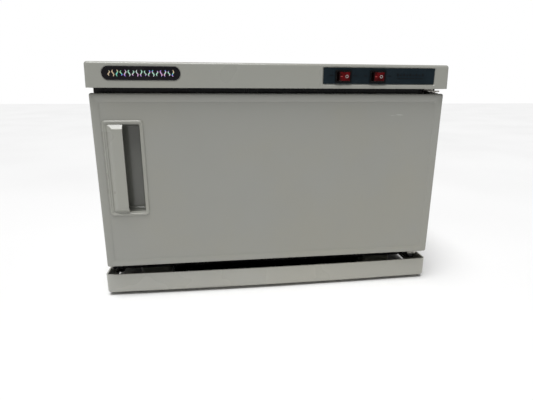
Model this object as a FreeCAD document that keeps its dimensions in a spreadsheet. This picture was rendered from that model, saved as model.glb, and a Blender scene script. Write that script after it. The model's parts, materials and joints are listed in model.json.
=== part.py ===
import FreeCAD, Part
import math
import os

import Sketcher

# Hot towel cabinet for a barber shop or hair salon: a heated, insulated chamber behind a side-hung
# door, with a germicidal lamp, a moulded top cover that carries two rocker switches, and a drip tray
# that slides out from under the door.
#
# Millimetres. +Z is up, the door faces -Y, and the origin is the centre of the bounding box's base,
# so the table is z = 0. The hinges are on the right, at +X.

doc = FreeCAD.newDocument("hot_towel_cabinet")
V = FreeCAD.Vector

# ---------------------------------------------------------------- driving dimensions
DIMENSIONS = {
    # body, made of folded sheet
    "body_width": 451, "body_front": -109, "body_rear": 134, "body_top": 277,
    "skirt_bottom": 33, "sheet_wall": 0.8, "sheet_gap": 0.2, "shell_flange": 14,
    "base_level": 38, "base_wall": 1, "base_flange": 12,
    "frame_wall": 2, "frame_top": 296, "frame_tab_inset": 2.3, "rear_wall": 0.8, "rear_raise": 1.5,
    "roof_slots": 9, "roof_slot_pitch": 15, "roof_slot_y": 81, "wire_hole": 18,
    "rear_slots": 16, "rear_slot_reach": 215, "rear_slot_left": -110, "rear_slot_margin": 14,
    "base_slots": 14, "base_slot_reach": 195, "base_slot_left": -100,
    # heated chamber
    "chamber_width": 400, "chamber_bottom": 66, "chamber_top": 258, "chamber_rear": 104,
    "chamber_round": 8, "liner_wall": 0.8, "slot_width": 5, "slot_height": 26,
    "wool_rear": 123, "wool_floor": 52,
    # top cover and controls
    "lid_width": 452.4, "lid_draft": 0.9, "lid_front": -140, "lid_rear": 138, "lid_height": 29.5,
    "lid_wall": 2.5, "lid_face_wall": 3.4, "lid_round": 4,
    "badge_left": -206.2, "badge_length": 90, "badge_height": 15.6, "badge_bottom": 285.6,
    "badge_thick": 1.5, "badge_stand": 0.3, "seat_gap": 0.8, "snap_gap": 0.2,
    "panel_left": 58.6, "panel_length": 147, "panel_height": 19.4, "panel_bottom": 282.6,
    "panel_wall": 1, "panel_sink": 0.4, "panel_round": 0.6,
    "heat_switch_x": 84, "lamp_switch_x": 129, "switch_level": 291.6,
    "bezel_length": 21, "bezel_height": 15.4, "bezel_wall": 1.6,
    "switch_length": 18.6, "switch_height": 12.8, "switch_depth": 15,
    "rocker_length": 16, "rocker_height": 10.6, "rocker_pivot": 2, "rocker_tilt": 10,
    "rocker_gap": 0.3, "well_depth": 9.5, "trunnion": 2.3, "trunnion_reach": 0.9,
    "tab_pitch": 6, "tab_length": 8, "tab_width": 4.8, "tab_thick": 0.8,
    "lid_screw_front": -80, "lid_screw_rear": 100, "lid_screw_rise": 12,
    "bracket_front": -95, "bracket_length": 215, "bracket_foot": 16, "bracket_rise": 18,
    "bracket_sheet": 1.3,
    # door
    "door_width": 450, "door_height": 224, "door_thick": 22, "door_front": -134,
    "door_bottom": 47, "door_wall": 2.5, "door_round": 2.6, "door_corner": 3, "door_border": 11,
    "field_sink": 1.2, "ledge": 5, "ledge_front": 14, "door_plate": 1.2, "plate_dish": 6,
    "dish_half": 188, "dish_margin": 12, "foam_thick": 14.6, "gasket_width": 9,
    "gasket_thick": 2.7, "magnet_length": 50, "magnet_thick": 3, "door_screw_margin": 35,
    # door handle
    "handle_left": -213.8, "handle_width": 49.3, "handle_bottom": 118.1, "handle_height": 121,
    "handle_flange": 1.8, "handle_rim": 4.7, "handle_corner": 4.5, "handle_depth": 17.5,
    "cup_wall": 1.5, "grip_width": 19.6, "grip_wall": 2.8, "grip_rise": 3.4,
    # hinges
    "hinge_x": 218, "hinge_y": -120, "hinge_sheet": 2, "hinge_gap": 2, "hinge_pin": 5,
    "hinge_pin_reach": 10, "bush_width": 8, "bush_flange": 11, "bush_clearance": 0.06,
    "hinge_block": 12.5, "hinge_leaf_left": -9, "hinge_leaf_right": 6.5, "hinge_leaf_reach": 16,
    "hinge_leg_up": 18, "hinge_leg_down": -9.5,
    # feet and underside
    "foot_inner": 148.5, "foot_width": 43, "foot_depth": 36, "foot_front": -88,
    "foot_rear": 72, "foot_round": 5, "foot_well": 12, "foot_well_depth": 9, "foot_hole": 4.4,
    "pad_height": 3, "cover_width": 290, "cover_front": -76, "cover_rear": 96,
    "cover_bottom": 7, "cover_wall": 1.2, "cover_round": 5,
    # drip tray
    "tray_width": 462, "tray_front": -124, "tray_bow": 4, "tray_rear": -91, "tray_bottom": 4.2,
    "tray_top": 31.5, "tray_wall": 2, "tray_round": 3, "tray_rear_top": 12, "tray_side_rear": 40,
    "tray_lip_level": 27.5, "tray_lip_inner": 214, "tray_lip_rear": -34,
    "rail_width": 11.5, "rail_front": -104, "rail_rear": -20, "rail_sheet": 1.5,
    # lamp, rack and electrics
    "lamp_width": 15.5, "lamp_length": 212, "lamp_level": 243, "lamp_y": -10,
    "cap_length": 11, "holder_thick": 12, "holder_half": 11, "guard_slots": 16,
    "guard_slot_reach": 206, "rack_level": 78, "rack_wire": 4, "rack_rod": 2.6,
    "rack_front": -92, "rack_rear": 96, "angle_foot": 9, "angle_rise": 12, "angle_sheet": 1.5,
    "heater_wall": 1.6, "element_width": 6.5, "element_pitch": 40, "element_reach": 150,
    "gland_x": -185, "gland_level": 62, "gland_bore": 7, "gland_end": 143.8, "gland_inside": 8,
    "gland_collar": 3, "gland_wall": 2.5, "gland_flange": 6,
}

# Lengths that follow from the driving dimensions. Each name stands for its expression.
DERIVED = {
    "body_half": "body_width / 2",
    "inner_half": "body_half - sheet_wall - sheet_gap",
    "frame_back": "body_front + frame_wall",
    "liner_half": "chamber_width / 2 + liner_wall",
    "liner_front": "frame_back + sheet_gap",
    "liner_rear": "chamber_rear + liner_wall",
    "liner_low": "chamber_bottom - liner_wall",
    "liner_high": "chamber_top + liner_wall",
    "lid_half": "lid_width / 2",
    "lid_bottom": "body_top",
    "panel_face": "lid_front + panel_sink",
    "door_half": "door_width / 2",
    "door_top": "door_bottom + door_height",
    "door_back": "door_front + door_thick",
    "door_room": "door_half - door_wall",
    "field_face": "door_front + field_sink",
    "gasket_half": "chamber_width / 2 + 3",
    "handle_right": "handle_left + handle_width",
    "cup_left": "handle_left + handle_rim",
    "cup_right": "handle_right - handle_rim",
    "tray_half": "tray_width / 2",
    "lamp_half": "lamp_length / 2",
    "heater_low": "liner_low - heater_wall",
}

sheet = doc.addObject("Spreadsheet::Sheet", "dims")
for row, (alias, number) in enumerate(DIMENSIONS.items(), 1):
    sheet.set(f"A{row}", alias.replace("_", " "))
    sheet.set(f"B{row}", str(number))
    sheet.setAlias(f"B{row}", alias)
doc.recompute()


def ex(text):
    """Spell out an expression: derived names first, then the sheet's own cells."""
    words = []
    word = ""
    for letter in str(text) + " ":
        if letter.isalnum() or letter in "_.":
            word += letter
            continue
        if word in DERIVED:
            word = "(" + ex(DERIVED[word]) + ")"
        elif word in DIMENSIONS:
            word = "dims." + word
        words.append(word + letter)
        word = ""
    return "".join(words).strip()


def number(text):
    """The present value of an expression, in millimetres."""
    return float(sheet.evalExpression(ex(text)))


def bind(thing, prop, text):
    thing.setExpression(prop, ex(text))


def place(thing, x=0, y=0, z=0):
    for axis, text in zip("xyz", (x, y, z)):
        bind(thing, "Placement.Base." + axis, text)
    return thing


# ---------------------------------------------------------------- sketches
def line(sketch, a, b):
    return sketch.addGeometry(Part.LineSegment(V(*a, 0), V(*b, 0)), False)


def pin_point(sketch, geometry, end, x, y):
    """Hold one end of a line at (x, y), measured from the sketch's origin."""
    for kind, text in (("DistanceX", x), ("DistanceY", y)):
        held = sketch.addConstraint(Sketcher.Constraint(kind, -1, 1, geometry, end, number(text)))
        sketch.setExpression(f"Constraints[{held}]", ex(text))


def polygon(*corners):
    """A closed outline of straight sides through corners given as pairs of expressions."""
    def draw(sketch):
        spots = [(number(x), number(y)) for x, y in corners]
        count = len(spots)
        sides = [line(sketch, spots[i], spots[(i + 1) % count]) for i in range(count)]
        for i, side in enumerate(sides):
            following = sides[(i + 1) % count]
            sketch.addConstraint(Sketcher.Constraint("Coincident", side, 2, following, 1))
            pin_point(sketch, side, 1, *corners[i])
    return draw


def rectangle(x1, x2, y1, y2):
    return polygon((x1, y1), (x2, y1), (x2, y2), (x1, y2))


def circle(x, y, radius):
    def draw(sketch):
        ring = Part.Circle(V(number(x), number(y), 0), V(0, 0, 1), number(radius))
        ring = sketch.addGeometry(ring, False)
        pin_point(sketch, ring, 3, x, y)
        held = sketch.addConstraint(Sketcher.Constraint("Radius", ring, number(radius)))
        sketch.setExpression(f"Constraints[{held}]", ex(radius))
    return draw


def rounded(x1, x2, y1, y2, radius):
    """A rectangle with four equal round corners."""
    def draw(sketch):
        left, right, low, high, r = (number(text) for text in (x1, x2, y1, y2, radius))
        flats = [line(sketch, a, b) for a, b in (
            ((left + r, low), (right - r, low)), ((right, low + r), (right, high - r)),
            ((right - r, high), (left + r, high)), ((left, high - r), (left, low + r)))]
        centres = ((right - r, low + r), (right - r, high - r), (left + r, high - r),
                   (left + r, low + r))
        corners = []
        for quarter, centre in enumerate(centres, -1):
            arc = Part.ArcOfCircle(Part.Circle(V(*centre, 0), V(0, 0, 1), r),
                                   quarter * math.pi / 2, (quarter + 1) * math.pi / 2)
            corners.append(sketch.addGeometry(arc, False))
        for i, corner in enumerate(corners):
            sketch.addConstraint(Sketcher.Constraint("Tangent", flats[i], 2, corner, 1))
            sketch.addConstraint(Sketcher.Constraint("Tangent", corner, 2, flats[(i + 1) % 4], 1))
        for flat, way in zip(flats, ("Horizontal", "Vertical") * 2):
            sketch.addConstraint(Sketcher.Constraint(way, flat))
        for corner in corners[1:]:
            sketch.addConstraint(Sketcher.Constraint("Equal", corners[0], corner))
        for flat, kind, text in ((flats[3], "DistanceX", x1), (flats[1], "DistanceX", x2),
                                 (flats[0], "DistanceY", y1), (flats[2], "DistanceY", y2)):
            held = sketch.addConstraint(
                Sketcher.Constraint(kind, -1, 1, flat, 1, number(text)))
            sketch.setExpression(f"Constraints[{held}]", ex(text))
        held = sketch.addConstraint(Sketcher.Constraint("Radius", corners[0], r))
        sketch.setExpression(f"Constraints[{held}]", ex(radius))
    return draw


# ---------------------------------------------------------------- solids
PLANES = {"x": ("YZ_Plane", 1), "y": ("XZ_Plane", -1), "z": ("XY_Plane", 1)}
nodes = []


def keep(thing):
    nodes.append(thing)
    return thing


def body(name, x=0, y=0, z=0):
    return keep(place(doc.addObject("PartDesign::Body", name), x, y, z))


def sketch_on(owner, axis, offset):
    """A sketch square to an axis of its own body, at a distance along that axis."""
    role, side = PLANES[axis]
    plane = next(item for item in owner.Origin.OriginFeatures if item.Role == role)
    sketch = owner.newObject("Sketcher::SketchObject", owner.Name + "_outline")
    sketch.AttachmentSupport = [(plane, "")]
    sketch.MapMode = "FlatFace"
    bind(sketch, "AttachmentOffset.Base.z", f"{side} * ({offset})")
    return sketch


def extrude(owner, axis, start, end, *outlines, cut=False):
    """Pad, or pocket, the outlines along the positive axis from start to end."""
    sketch = sketch_on(owner, axis, start)
    for draw in outlines:
        draw(sketch)
    kind = "Pocket" if cut else "Pad"
    feature = owner.newObject("PartDesign::" + kind, owner.Name + "_" + kind.lower())
    feature.Profile = sketch
    bind(feature, "Length", f"({end}) - ({start})")
    feature.Reversed = (axis == "y") != cut
    return feature


def pocket(owner, axis, start, end, *outlines):
    return extrude(owner, axis, start, end, *outlines, cut=True)


def repeat(owner, feature, direction, length, count):
    """Repeat one feature in a row: H_Axis or V_Axis of its own sketch."""
    pattern = owner.newObject("PartDesign::LinearPattern", owner.Name + "_row")
    pattern.Originals = [feature]
    pattern.Direction = (feature.Profile[0], [direction])
    bind(pattern, "Length", length)
    bind(pattern, "Occurrences", count)
    owner.Tip = pattern
    return pattern


def round_edges(owner, radius, wanted):
    """Round the edges of the body so far whose bounding box passes the test."""
    doc.recompute()
    base = owner.Tip
    names = [f"Edge{i}" for i, edge in enumerate(base.Shape.Edges, 1) if wanted(edge.BoundBox)]
    fillet = owner.newObject("PartDesign::Fillet", owner.Name + "_round")
    fillet.Base = (base, names)
    bind(fillet, "Radius", radius)
    return fillet


def near(a, b):
    return abs(a - b) < 0.01


def upright(box):
    return box.XLength < 0.01 and box.YLength < 0.01


def block(name, x, y, z):
    """A box between pairs of limits."""
    solid = doc.addObject("Part::Box", name)
    for prop, (low, high) in (("Length", x), ("Width", y), ("Height", z)):
        bind(solid, prop, f"({high}) - ({low})")
    return place(solid, x[0], y[0], z[0])


TURNS = {"z": FreeCAD.Rotation(), "y": FreeCAD.Rotation(V(1, 0, 0), -90),
         "x": FreeCAD.Rotation(V(0, 1, 0), 90)}


def rod(name, axis, radius, start, length):
    """A cylinder from a start point along the positive axis."""
    solid = doc.addObject("Part::Cylinder", name)
    solid.Placement = FreeCAD.Placement(V(), TURNS[axis])
    bind(solid, "Radius", radius)
    bind(solid, "Height", length)
    return place(solid, *start)


def fuse(name, solids):
    joined = doc.addObject("Part::MultiFuse", name)
    joined.Shapes = solids
    return keep(joined)


def group(name, solids):
    """Separate, identical solids that share one node."""
    gathered = doc.addObject("Part::Compound", name)
    gathered.Links = solids
    return keep(gathered)


def screw(name, axis, side, seat, shank, length, head, head_height):
    """Pan-head screw: where its head seats, and the way along the axis that the head faces."""
    step = "xyz".index(axis)
    shank_start, head_start = list(seat), list(seat)
    if side > 0:
        shank_start[step] = f"({seat[step]}) - {length}"
    else:
        head_start[step] = f"({seat[step]}) - {head_height}"
    joined = doc.addObject("Part::Fuse", name)
    joined.Base = rod(name + "_shank", axis, shank, shank_start, length)
    joined.Tool = rod(name + "_head", axis, head, head_start, head_height)
    return joined


def screws(name, axis, side, seats, *sizes):
    return group(name, [screw(f"{name}_{i}", axis, side, seat, *sizes)
                        for i, seat in enumerate(seats)])


# ---------------------------------------------------------------- body of folded sheet
def make_outer_shell():
    """Inverted U of painted sheet: roof and both sides, with a flange down each rear edge."""
    shell = body("outer_shell", 0, "body_front", "skirt_bottom")
    roof = "body_top - skirt_bottom"
    depth = "body_rear - body_front"
    extrude(shell, "y", "0", depth, polygon(
        ("-body_half", "0"), ("-body_half + sheet_wall", "0"),
        ("-body_half + sheet_wall", f"{roof} - sheet_wall"),
        ("body_half - sheet_wall", f"{roof} - sheet_wall"),
        ("body_half - sheet_wall", "0"), ("body_half", "0"),
        ("body_half", roof), ("-body_half", roof)))
    for side in (-1, 1):
        edges = sorted((f"{side} * (body_half - sheet_wall)",
                        f"{side} * (body_half - shell_flange)"), key=number)
        extrude(shell, "y", f"{depth} - rear_wall - sheet_wall", f"{depth} - rear_wall",
                rectangle(*edges, "0", f"{roof} - sheet_wall"))
    pocket(shell, "y", "0", "frame_wall + sheet_gap",
           rectangle("-inner_half", "inner_half", f"{roof} - 2 * sheet_wall", f"{roof} + 1"))
    slot = pocket(shell, "z", f"{roof} - 2 * sheet_wall", f"{roof} + 1",
                  rectangle("-150", "-150 + slot_width", "roof_slot_y - body_front",
                            "roof_slot_y - body_front + slot_height"))
    repeat(shell, slot, "H_Axis", "roof_slot_pitch * (roof_slots - 1)", "roof_slots")
    pocket(shell, "z", f"{roof} - 2 * sheet_wall", f"{roof} + 1",
           circle("100", "60", "wire_hole / 2"), circle("-20", "110", "wire_hole / 2"))


def make_rear_panel():
    """Flat screwed-on back with two rows of vent slots and the cord's hole."""
    panel = body("rear_panel", 0, "body_rear - rear_wall", "base_level + rear_raise")
    height = "body_top - base_level - 2 * rear_raise"
    extrude(panel, "y", "0", "rear_wall", rectangle("-inner_half", "inner_half", "0", height))
    for low in ("rear_slot_margin", f"{height} - rear_slot_margin - slot_height"):
        slot = pocket(panel, "y", "0", "rear_wall", rectangle(
            "rear_slot_left", "rear_slot_left + slot_width", low, f"{low} + slot_height"))
        repeat(panel, slot, "H_Axis", "rear_slot_reach", "rear_slots")
    pocket(panel, "y", "0", "rear_wall", circle(
        "gland_x", "gland_level - base_level - rear_raise", "gland_bore / 2 + gland_wall"))


def make_base_pan():
    """Black floor plate with an upturned flange along each side."""
    pan = body("base_pan", 0, "frame_back + sheet_gap", "base_level")
    depth = "body_rear - rear_wall - sheet_wall - frame_back - 2 * sheet_gap"
    extrude(pan, "y", "0", depth, polygon(
        ("-inner_half", "0"), ("inner_half", "0"), ("inner_half", "base_flange"),
        ("inner_half - base_wall", "base_flange"), ("inner_half - base_wall", "base_wall"),
        ("-inner_half + base_wall", "base_wall"), ("-inner_half + base_wall", "base_flange"),
        ("-inner_half", "base_flange")))
    slot = pocket(pan, "z", "0", "base_wall", rectangle(
        "base_slot_left", "base_slot_left + slot_width", "150", "150 + slot_height"))
    repeat(pan, slot, "H_Axis", "base_slot_reach", "base_slots")


def make_bottom_cover():
    """Shallow black box under the floor plate, over the wiring, with vent slots in its bottom."""
    cover = body("bottom_cover", 0, "cover_front", "cover_bottom")
    height = "base_level - cover_bottom - sheet_gap"
    depth = "cover_rear - cover_front"
    extrude(cover, "z", "0", height, rounded("-cover_width / 2", "cover_width / 2", "0", depth,
                                             "cover_round"))
    pocket(cover, "z", "cover_wall", height, rounded(
        "-cover_width / 2 + cover_wall", "cover_width / 2 - cover_wall", "cover_wall",
        f"{depth} - cover_wall", "cover_round - cover_wall"))
    slot = pocket(cover, "z", "0", "cover_wall", rectangle(
        "base_slot_left", "base_slot_left + slot_width", "110", "110 + slot_height"))
    repeat(cover, slot, "H_Axis", "base_slot_reach", "base_slots")


def make_front_frame():
    """Glossy black face that the door closes on; its upper tab stands inside the top cover."""
    frame = body("front_frame", 0, "body_front", "skirt_bottom")
    shoulder = "body_top - skirt_bottom - 2 * sheet_gap"
    tab_half, tab_top = "inner_half - frame_tab_inset", "frame_top - skirt_bottom"
    extrude(frame, "y", "0", "frame_wall",
            polygon(("-inner_half", "0"), ("inner_half", "0"), ("inner_half", shoulder),
                    (tab_half, shoulder), (tab_half, tab_top), (f"-({tab_half})", tab_top),
                    (f"-({tab_half})", shoulder), ("-inner_half", shoulder)),
            rounded("-chamber_width / 2", "chamber_width / 2", "chamber_bottom - skirt_bottom",
                    "chamber_top - skirt_bottom", "chamber_round"))
    pocket(frame, "y", "0", "frame_wall",
           rectangle("-60", "150", "body_top - skirt_bottom + 9", "frame_top - skirt_bottom + 1"))


# ---------------------------------------------------------------- heated chamber
def make_chamber_liner():
    """Aluminium box, open at the front."""
    liner = body("chamber_liner", 0, "liner_front", 0)
    depth = "liner_rear - liner_front"
    extrude(liner, "y", "0", depth, rounded("-liner_half", "liner_half", "liner_low", "liner_high",
                                            "chamber_round + liner_wall"))
    pocket(liner, "y", "0", f"{depth} - liner_wall",
           rounded("-chamber_width / 2", "chamber_width / 2", "chamber_bottom", "chamber_top",
                   "chamber_round"))


def make_insulation():
    """Glass-wool blanket wrapped round the chamber, and a slab behind it."""
    blanket = body("insulation_blanket", 0, "liner_front", 0)
    extrude(blanket, "y", "0", "wool_rear - liner_front",
            rectangle("-inner_half + base_wall + sheet_gap", "inner_half - base_wall - sheet_gap",
                      "base_level + base_wall + 1.3", "body_top - sheet_wall - 0.5"),
            rectangle("-liner_half - 0.6", "liner_half + 0.6", "wool_floor", "liner_high + 0.6"))
    keep(block("insulation_rear", ("-liner_half", "liner_half"),
               ("liner_rear + 0.5", "wool_rear - 0.5"), ("wool_floor + 0.5", "liner_high")))


def make_heater():
    """Spreader plate on the underside of the chamber floor, and the element looped below it."""
    keep(block("heater_plate", ("-175", "175"), ("-85", "85"), ("heater_low", "liner_low")))
    element = body("heating_element", 0, 0, "heater_low - element_width / 2 - 0.2")
    route = sketch_on(element, "z", "0")
    runs = (-1.5, -0.5, 0.5, 1.5)
    pitch, reach = number("element_pitch"), number("element_reach")
    last = None
    for i, run in enumerate(runs):
        way = 1 if i % 2 == 0 else -1
        start, end = (-way * reach, run * pitch), (way * reach, run * pitch)
        straight = line(route, start, end)
        pin_point(route, straight, 1, f"{-way} * element_reach", f"{run} * element_pitch")
        pin_point(route, straight, 2, f"{way} * element_reach", f"{run} * element_pitch")
        if last is not None:
            turn = Part.Circle(V(start[0], start[1] - pitch / 2, 0), V(0, 0, 1), pitch / 2)
            half = (-math.pi / 2, math.pi / 2) if start[0] > 0 else (math.pi / 2, 3 * math.pi / 2)
            bend = route.addGeometry(Part.ArcOfCircle(turn, *half), False)
            ends = (1, 2) if start[0] > 0 else (2, 1)
            route.addConstraint(Sketcher.Constraint("Tangent", last, 2, bend, ends[0]))
            route.addConstraint(Sketcher.Constraint("Coincident", straight, 1, bend, ends[1]))
        last = straight
    section = sketch_on(element, "x", "-element_reach")
    circle("-1.5 * element_pitch", "0", "element_width / 2")(section)
    pipe = element.newObject("PartDesign::AdditivePipe", "heating_element_pipe")
    pipe.Profile = section
    pipe.Spine = route


def make_controls_inside():
    """Thermostat and thermal fuse under the heater plate, and the terminal block below the floor."""
    fuse("thermostat", [
        rod("thermostat_can", "z", "8", ("0", "0", "heater_low - 9"), "9"),
        block("thermostat_ear", ("-12", "12"), ("-4", "4"), ("heater_low - 1.2", "heater_low"))])
    keep(rod("thermal_fuse", "x", "3", ("50", "0", "heater_low - 3.2"), "15"))
    terminals = body("terminal_block", "-25", "0", "base_level - 16")
    extrude(terminals, "z", "0", "16", rectangle("0", "60", "0", "22"))
    hole = pocket(terminals, "z", "0", "8", circle("6", "11", "2.5"))
    repeat(terminals, hole, "H_Axis", "48", "5")


# ---------------------------------------------------------------- germicidal lamp
def make_lamp():
    """Tube under the chamber roof, its caps, a holder at each end and a slotted guard below it."""
    keep(rod("lamp_tube", "x", "lamp_width / 2", ("-lamp_half + cap_length", "lamp_y", "lamp_level"),
             "lamp_length - 2 * cap_length"))
    group("lamp_caps", [
        rod(f"lamp_cap_{i}", "x", "lamp_width / 2 + 0.4", (start, "lamp_y", "lamp_level"),
            "cap_length") for i, start in enumerate(("-lamp_half", "lamp_half - cap_length"))])
    for name, start in (("lampholder_left", "-lamp_half - holder_thick"),
                        ("lampholder_right", "lamp_half")):
        holder = body(name, start, "lamp_y", "lamp_level - 10")
        extrude(holder, "x", "0", "holder_thick", rounded(
            "-holder_half", "holder_half", "0", "chamber_top - lamp_level + 10", "4"))
    guard = body("lamp_guard", "-lamp_half - 14", "lamp_y", "chamber_top")
    length = "lamp_length + 28"
    extrude(guard, "x", "0", length, polygon(
        ("-32", "0"), ("-32", "-1"), ("-19", "-1"), ("-15", "-28"), ("15", "-28"), ("19", "-1"),
        ("32", "-1"), ("32", "0"), ("18", "0"), ("14", "-27"), ("-14", "-27"), ("-18", "0")))
    slot = pocket(guard, "z", "-29", "-26", rectangle("14", "20", "-11", "11"))
    repeat(guard, slot, "H_Axis", "guard_slot_reach", "guard_slots")


def make_lamp_gear():
    """Ballast and starter on the roof, under the top cover."""
    ballast = body("lamp_ballast", "-80", "30", "body_top")
    extrude(ballast, "x", "12", "88", rounded("0", "34", "0", "22", "3"))
    extrude(ballast, "z", "0", "1.5", rectangle("0", "100", "2", "32"))
    fuse("lamp_starter", [
        rod("starter_can", "x", "9.5", ("70", "60", "body_top + 11"), "34"),
        block("starter_base", ("104", "112"), ("49", "71"), ("body_top", "body_top + 22"))])


# ---------------------------------------------------------------- towel rack
def folded_angle(way, foot, rise, wall):
    """L section: its foot runs along the first axis, either way, and its web rises."""
    return polygon(("0", "0"), (f"{way} * {foot}", "0"), (f"{way} * {foot}", wall),
                   (f"{way} * {wall}", wall), (f"{way} * {wall}", rise), ("0", rise))


def make_rack():
    """Welded wire shelf that lies on an angle along each wall of the chamber."""
    front, rear, half = "rack_front", "rack_rear", "chamber_width / 2 - 4"
    wire = "rack_wire / 2"
    wires = [rod(f"rack_rail_{i}", "x", wire, (f"-({half})", y, "rack_level"), f"2 * ({half})")
             for i, y in enumerate((front, f"({front} + {rear}) / 2", rear))]
    wires += [rod(f"rack_side_{i}", "y", wire, (x, front, "rack_level"), f"{rear} - ({front})")
              for i, x in enumerate((f"-({half})", half))]
    count = 22
    for i in range(count):
        x = f"({half}) * {round(2 * (i + 0.5) / count - 1, 4)}"
        wires.append(rod(f"rack_rod_{i}", "y", "rack_rod / 2",
                         (x, front, "rack_level + rack_wire / 2"), f"{rear} - ({front})"))
    fuse("towel_rack", wires)
    for name, side in (("rack_support_left", -1), ("rack_support_right", 1)):
        angle = body(name, f"{side} * chamber_width / 2", "rack_front - 3",
                     "rack_level - rack_wire / 2 - angle_sheet - 0.3")
        extrude(angle, "y", "0", "rack_rear - rack_front + 6", folded_angle(
            -side, "angle_foot", "angle_rise", "angle_sheet"))


# ---------------------------------------------------------------- top cover and controls
def make_lid():
    """Moulded top cover: drafted sides, hollow below, with seats for the badge and the panel."""
    lid = body("lid", 0, "lid_front", "lid_bottom")
    depth = "lid_rear - lid_front"
    extrude(lid, "y", "0", depth, polygon(
        ("-lid_half", "0"), ("lid_half", "0"), ("lid_half - lid_draft", "lid_height"),
        ("-lid_half + lid_draft", "lid_height")))
    round_edges(lid, "lid_round", lambda box: box.ZLength > number("lid_height") - 0.1)
    top = number("lid_height")
    round_edges(lid, "lid_round - 0.5", lambda box: near(box.ZMin, top) and near(box.ZMax, top))
    pocket(lid, "z", "0", "lid_height - lid_wall", rounded(
        "-lid_half + lid_draft + lid_wall", "lid_half - lid_draft - lid_wall", "lid_face_wall",
        f"{depth} - lid_wall", "2"))
    pocket(lid, "y", "0", "badge_thick - badge_stand", rounded(
        "badge_left - seat_gap", "badge_left + badge_length + seat_gap",
        "badge_bottom - lid_bottom - seat_gap",
        "badge_bottom + badge_height - lid_bottom + seat_gap", "badge_height / 2 - 0.2"))
    pocket(lid, "y", "0", "panel_sink + panel_wall", rounded(
        "panel_left - seat_gap", "panel_left + panel_length + seat_gap",
        "panel_bottom - lid_bottom - seat_gap",
        "panel_bottom + panel_height - lid_bottom + seat_gap", "panel_round + seat_gap"))
    for centre in ("heat_switch_x", "lamp_switch_x"):
        pocket(lid, "y", "0", "lid_face_wall", switch_hole(centre, "lid_bottom"))


def switch_hole(centre, base):
    """Opening for one switch, measured up from the given level."""
    return rectangle(f"{centre} - switch_length / 2 - snap_gap",
                     f"{centre} + switch_length / 2 + snap_gap",
                     f"switch_level - {base} - switch_height / 2 - snap_gap",
                     f"switch_level - {base} + switch_height / 2 + snap_gap")


def make_lid_plates():
    """Pill-shaped badge on the left of the cover's face and the long switch panel on the right."""
    badge = body("badge_plate", "badge_left", "lid_front - badge_stand", "badge_bottom")
    extrude(badge, "y", "0", "badge_thick", rounded("0", "badge_length", "0", "badge_height",
                                                    "badge_height / 2 - 0.4"))
    panel = body("control_panel", 0, "panel_face", "panel_bottom")
    extrude(panel, "y", "0", "panel_wall", rounded("panel_left", "panel_left + panel_length", "0",
                                                   "panel_height", "panel_round"))
    for centre in ("heat_switch_x", "lamp_switch_x"):
        pocket(panel, "y", "0", "panel_wall", switch_hole(centre, "panel_bottom"))


def make_switch(name, centre):
    """Snap-in switch body with a bezel, and the rocker whose trunnions turn in its walls."""
    housing = body(name + "_housing", centre, "panel_face", "switch_level")
    extrude(housing, "y", "-bezel_wall", "0", rounded(
        "-bezel_length / 2", "bezel_length / 2", "-bezel_height / 2", "bezel_height / 2", "1"))
    extrude(housing, "y", "0", "switch_depth", rectangle(
        "-switch_length / 2", "switch_length / 2", "-switch_height / 2", "switch_height / 2"))
    pocket(housing, "y", "-bezel_wall", "well_depth", rectangle(
        "-rocker_length / 2 - 2 * rocker_gap", "rocker_length / 2 + 2 * rocker_gap",
        "-rocker_height / 2 - rocker_gap", "rocker_height / 2 + rocker_gap"))
    pocket(housing, "z", "-switch_height / 2", "switch_height / 2",
           circle("0", "rocker_pivot", "trunnion / 2 + 0.15"))
    rocker = body(name + "_rocker", centre, "panel_face + rocker_pivot", "switch_level")
    extrude(rocker, "z", "-rocker_height / 2", "rocker_height / 2", polygon(
        ("-rocker_length / 2", "0"), ("-5", "4"), ("5", "4"), ("rocker_length / 2", "0"),
        ("rocker_length / 2 - 0.6", "-5"), ("0", "-3.2"), ("-rocker_length / 2 + 0.6", "-5")))
    extrude(rocker, "z", "-rocker_height / 2 - trunnion_reach",
            "rocker_height / 2 + trunnion_reach", circle("0", "0", "trunnion / 2"))
    bind(rocker, "Placement.Rotation.Angle", "rocker_tilt")


def make_switch_tabs():
    """Push-on terminals at the back of both switches."""
    tabs = []
    for centre in ("heat_switch_x", "lamp_switch_x"):
        for i, step in enumerate((-1, 0, 1)):
            middle = f"{centre} + {step} * tab_pitch"
            tabs.append(block(
                f"{centre}_tab_{i}", (f"{middle} - tab_thick / 2", f"{middle} + tab_thick / 2"),
                ("panel_face + switch_depth", "panel_face + switch_depth + tab_length"),
                ("switch_level - tab_width / 2", "switch_level + tab_width / 2")))
    group("switch_tabs", tabs)


def make_lid_brackets():
    """Angles on the roof that the cover's sides screw to."""
    for name, side in (("lid_bracket_left", -1), ("lid_bracket_right", 1)):
        angle = body(name, f"{side} * (lid_half - lid_draft - lid_wall - snap_gap)",
                     "bracket_front", "body_top")
        extrude(angle, "y", "0", "bracket_length", folded_angle(
            -side, "bracket_foot", "bracket_rise", "bracket_sheet"))


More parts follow.
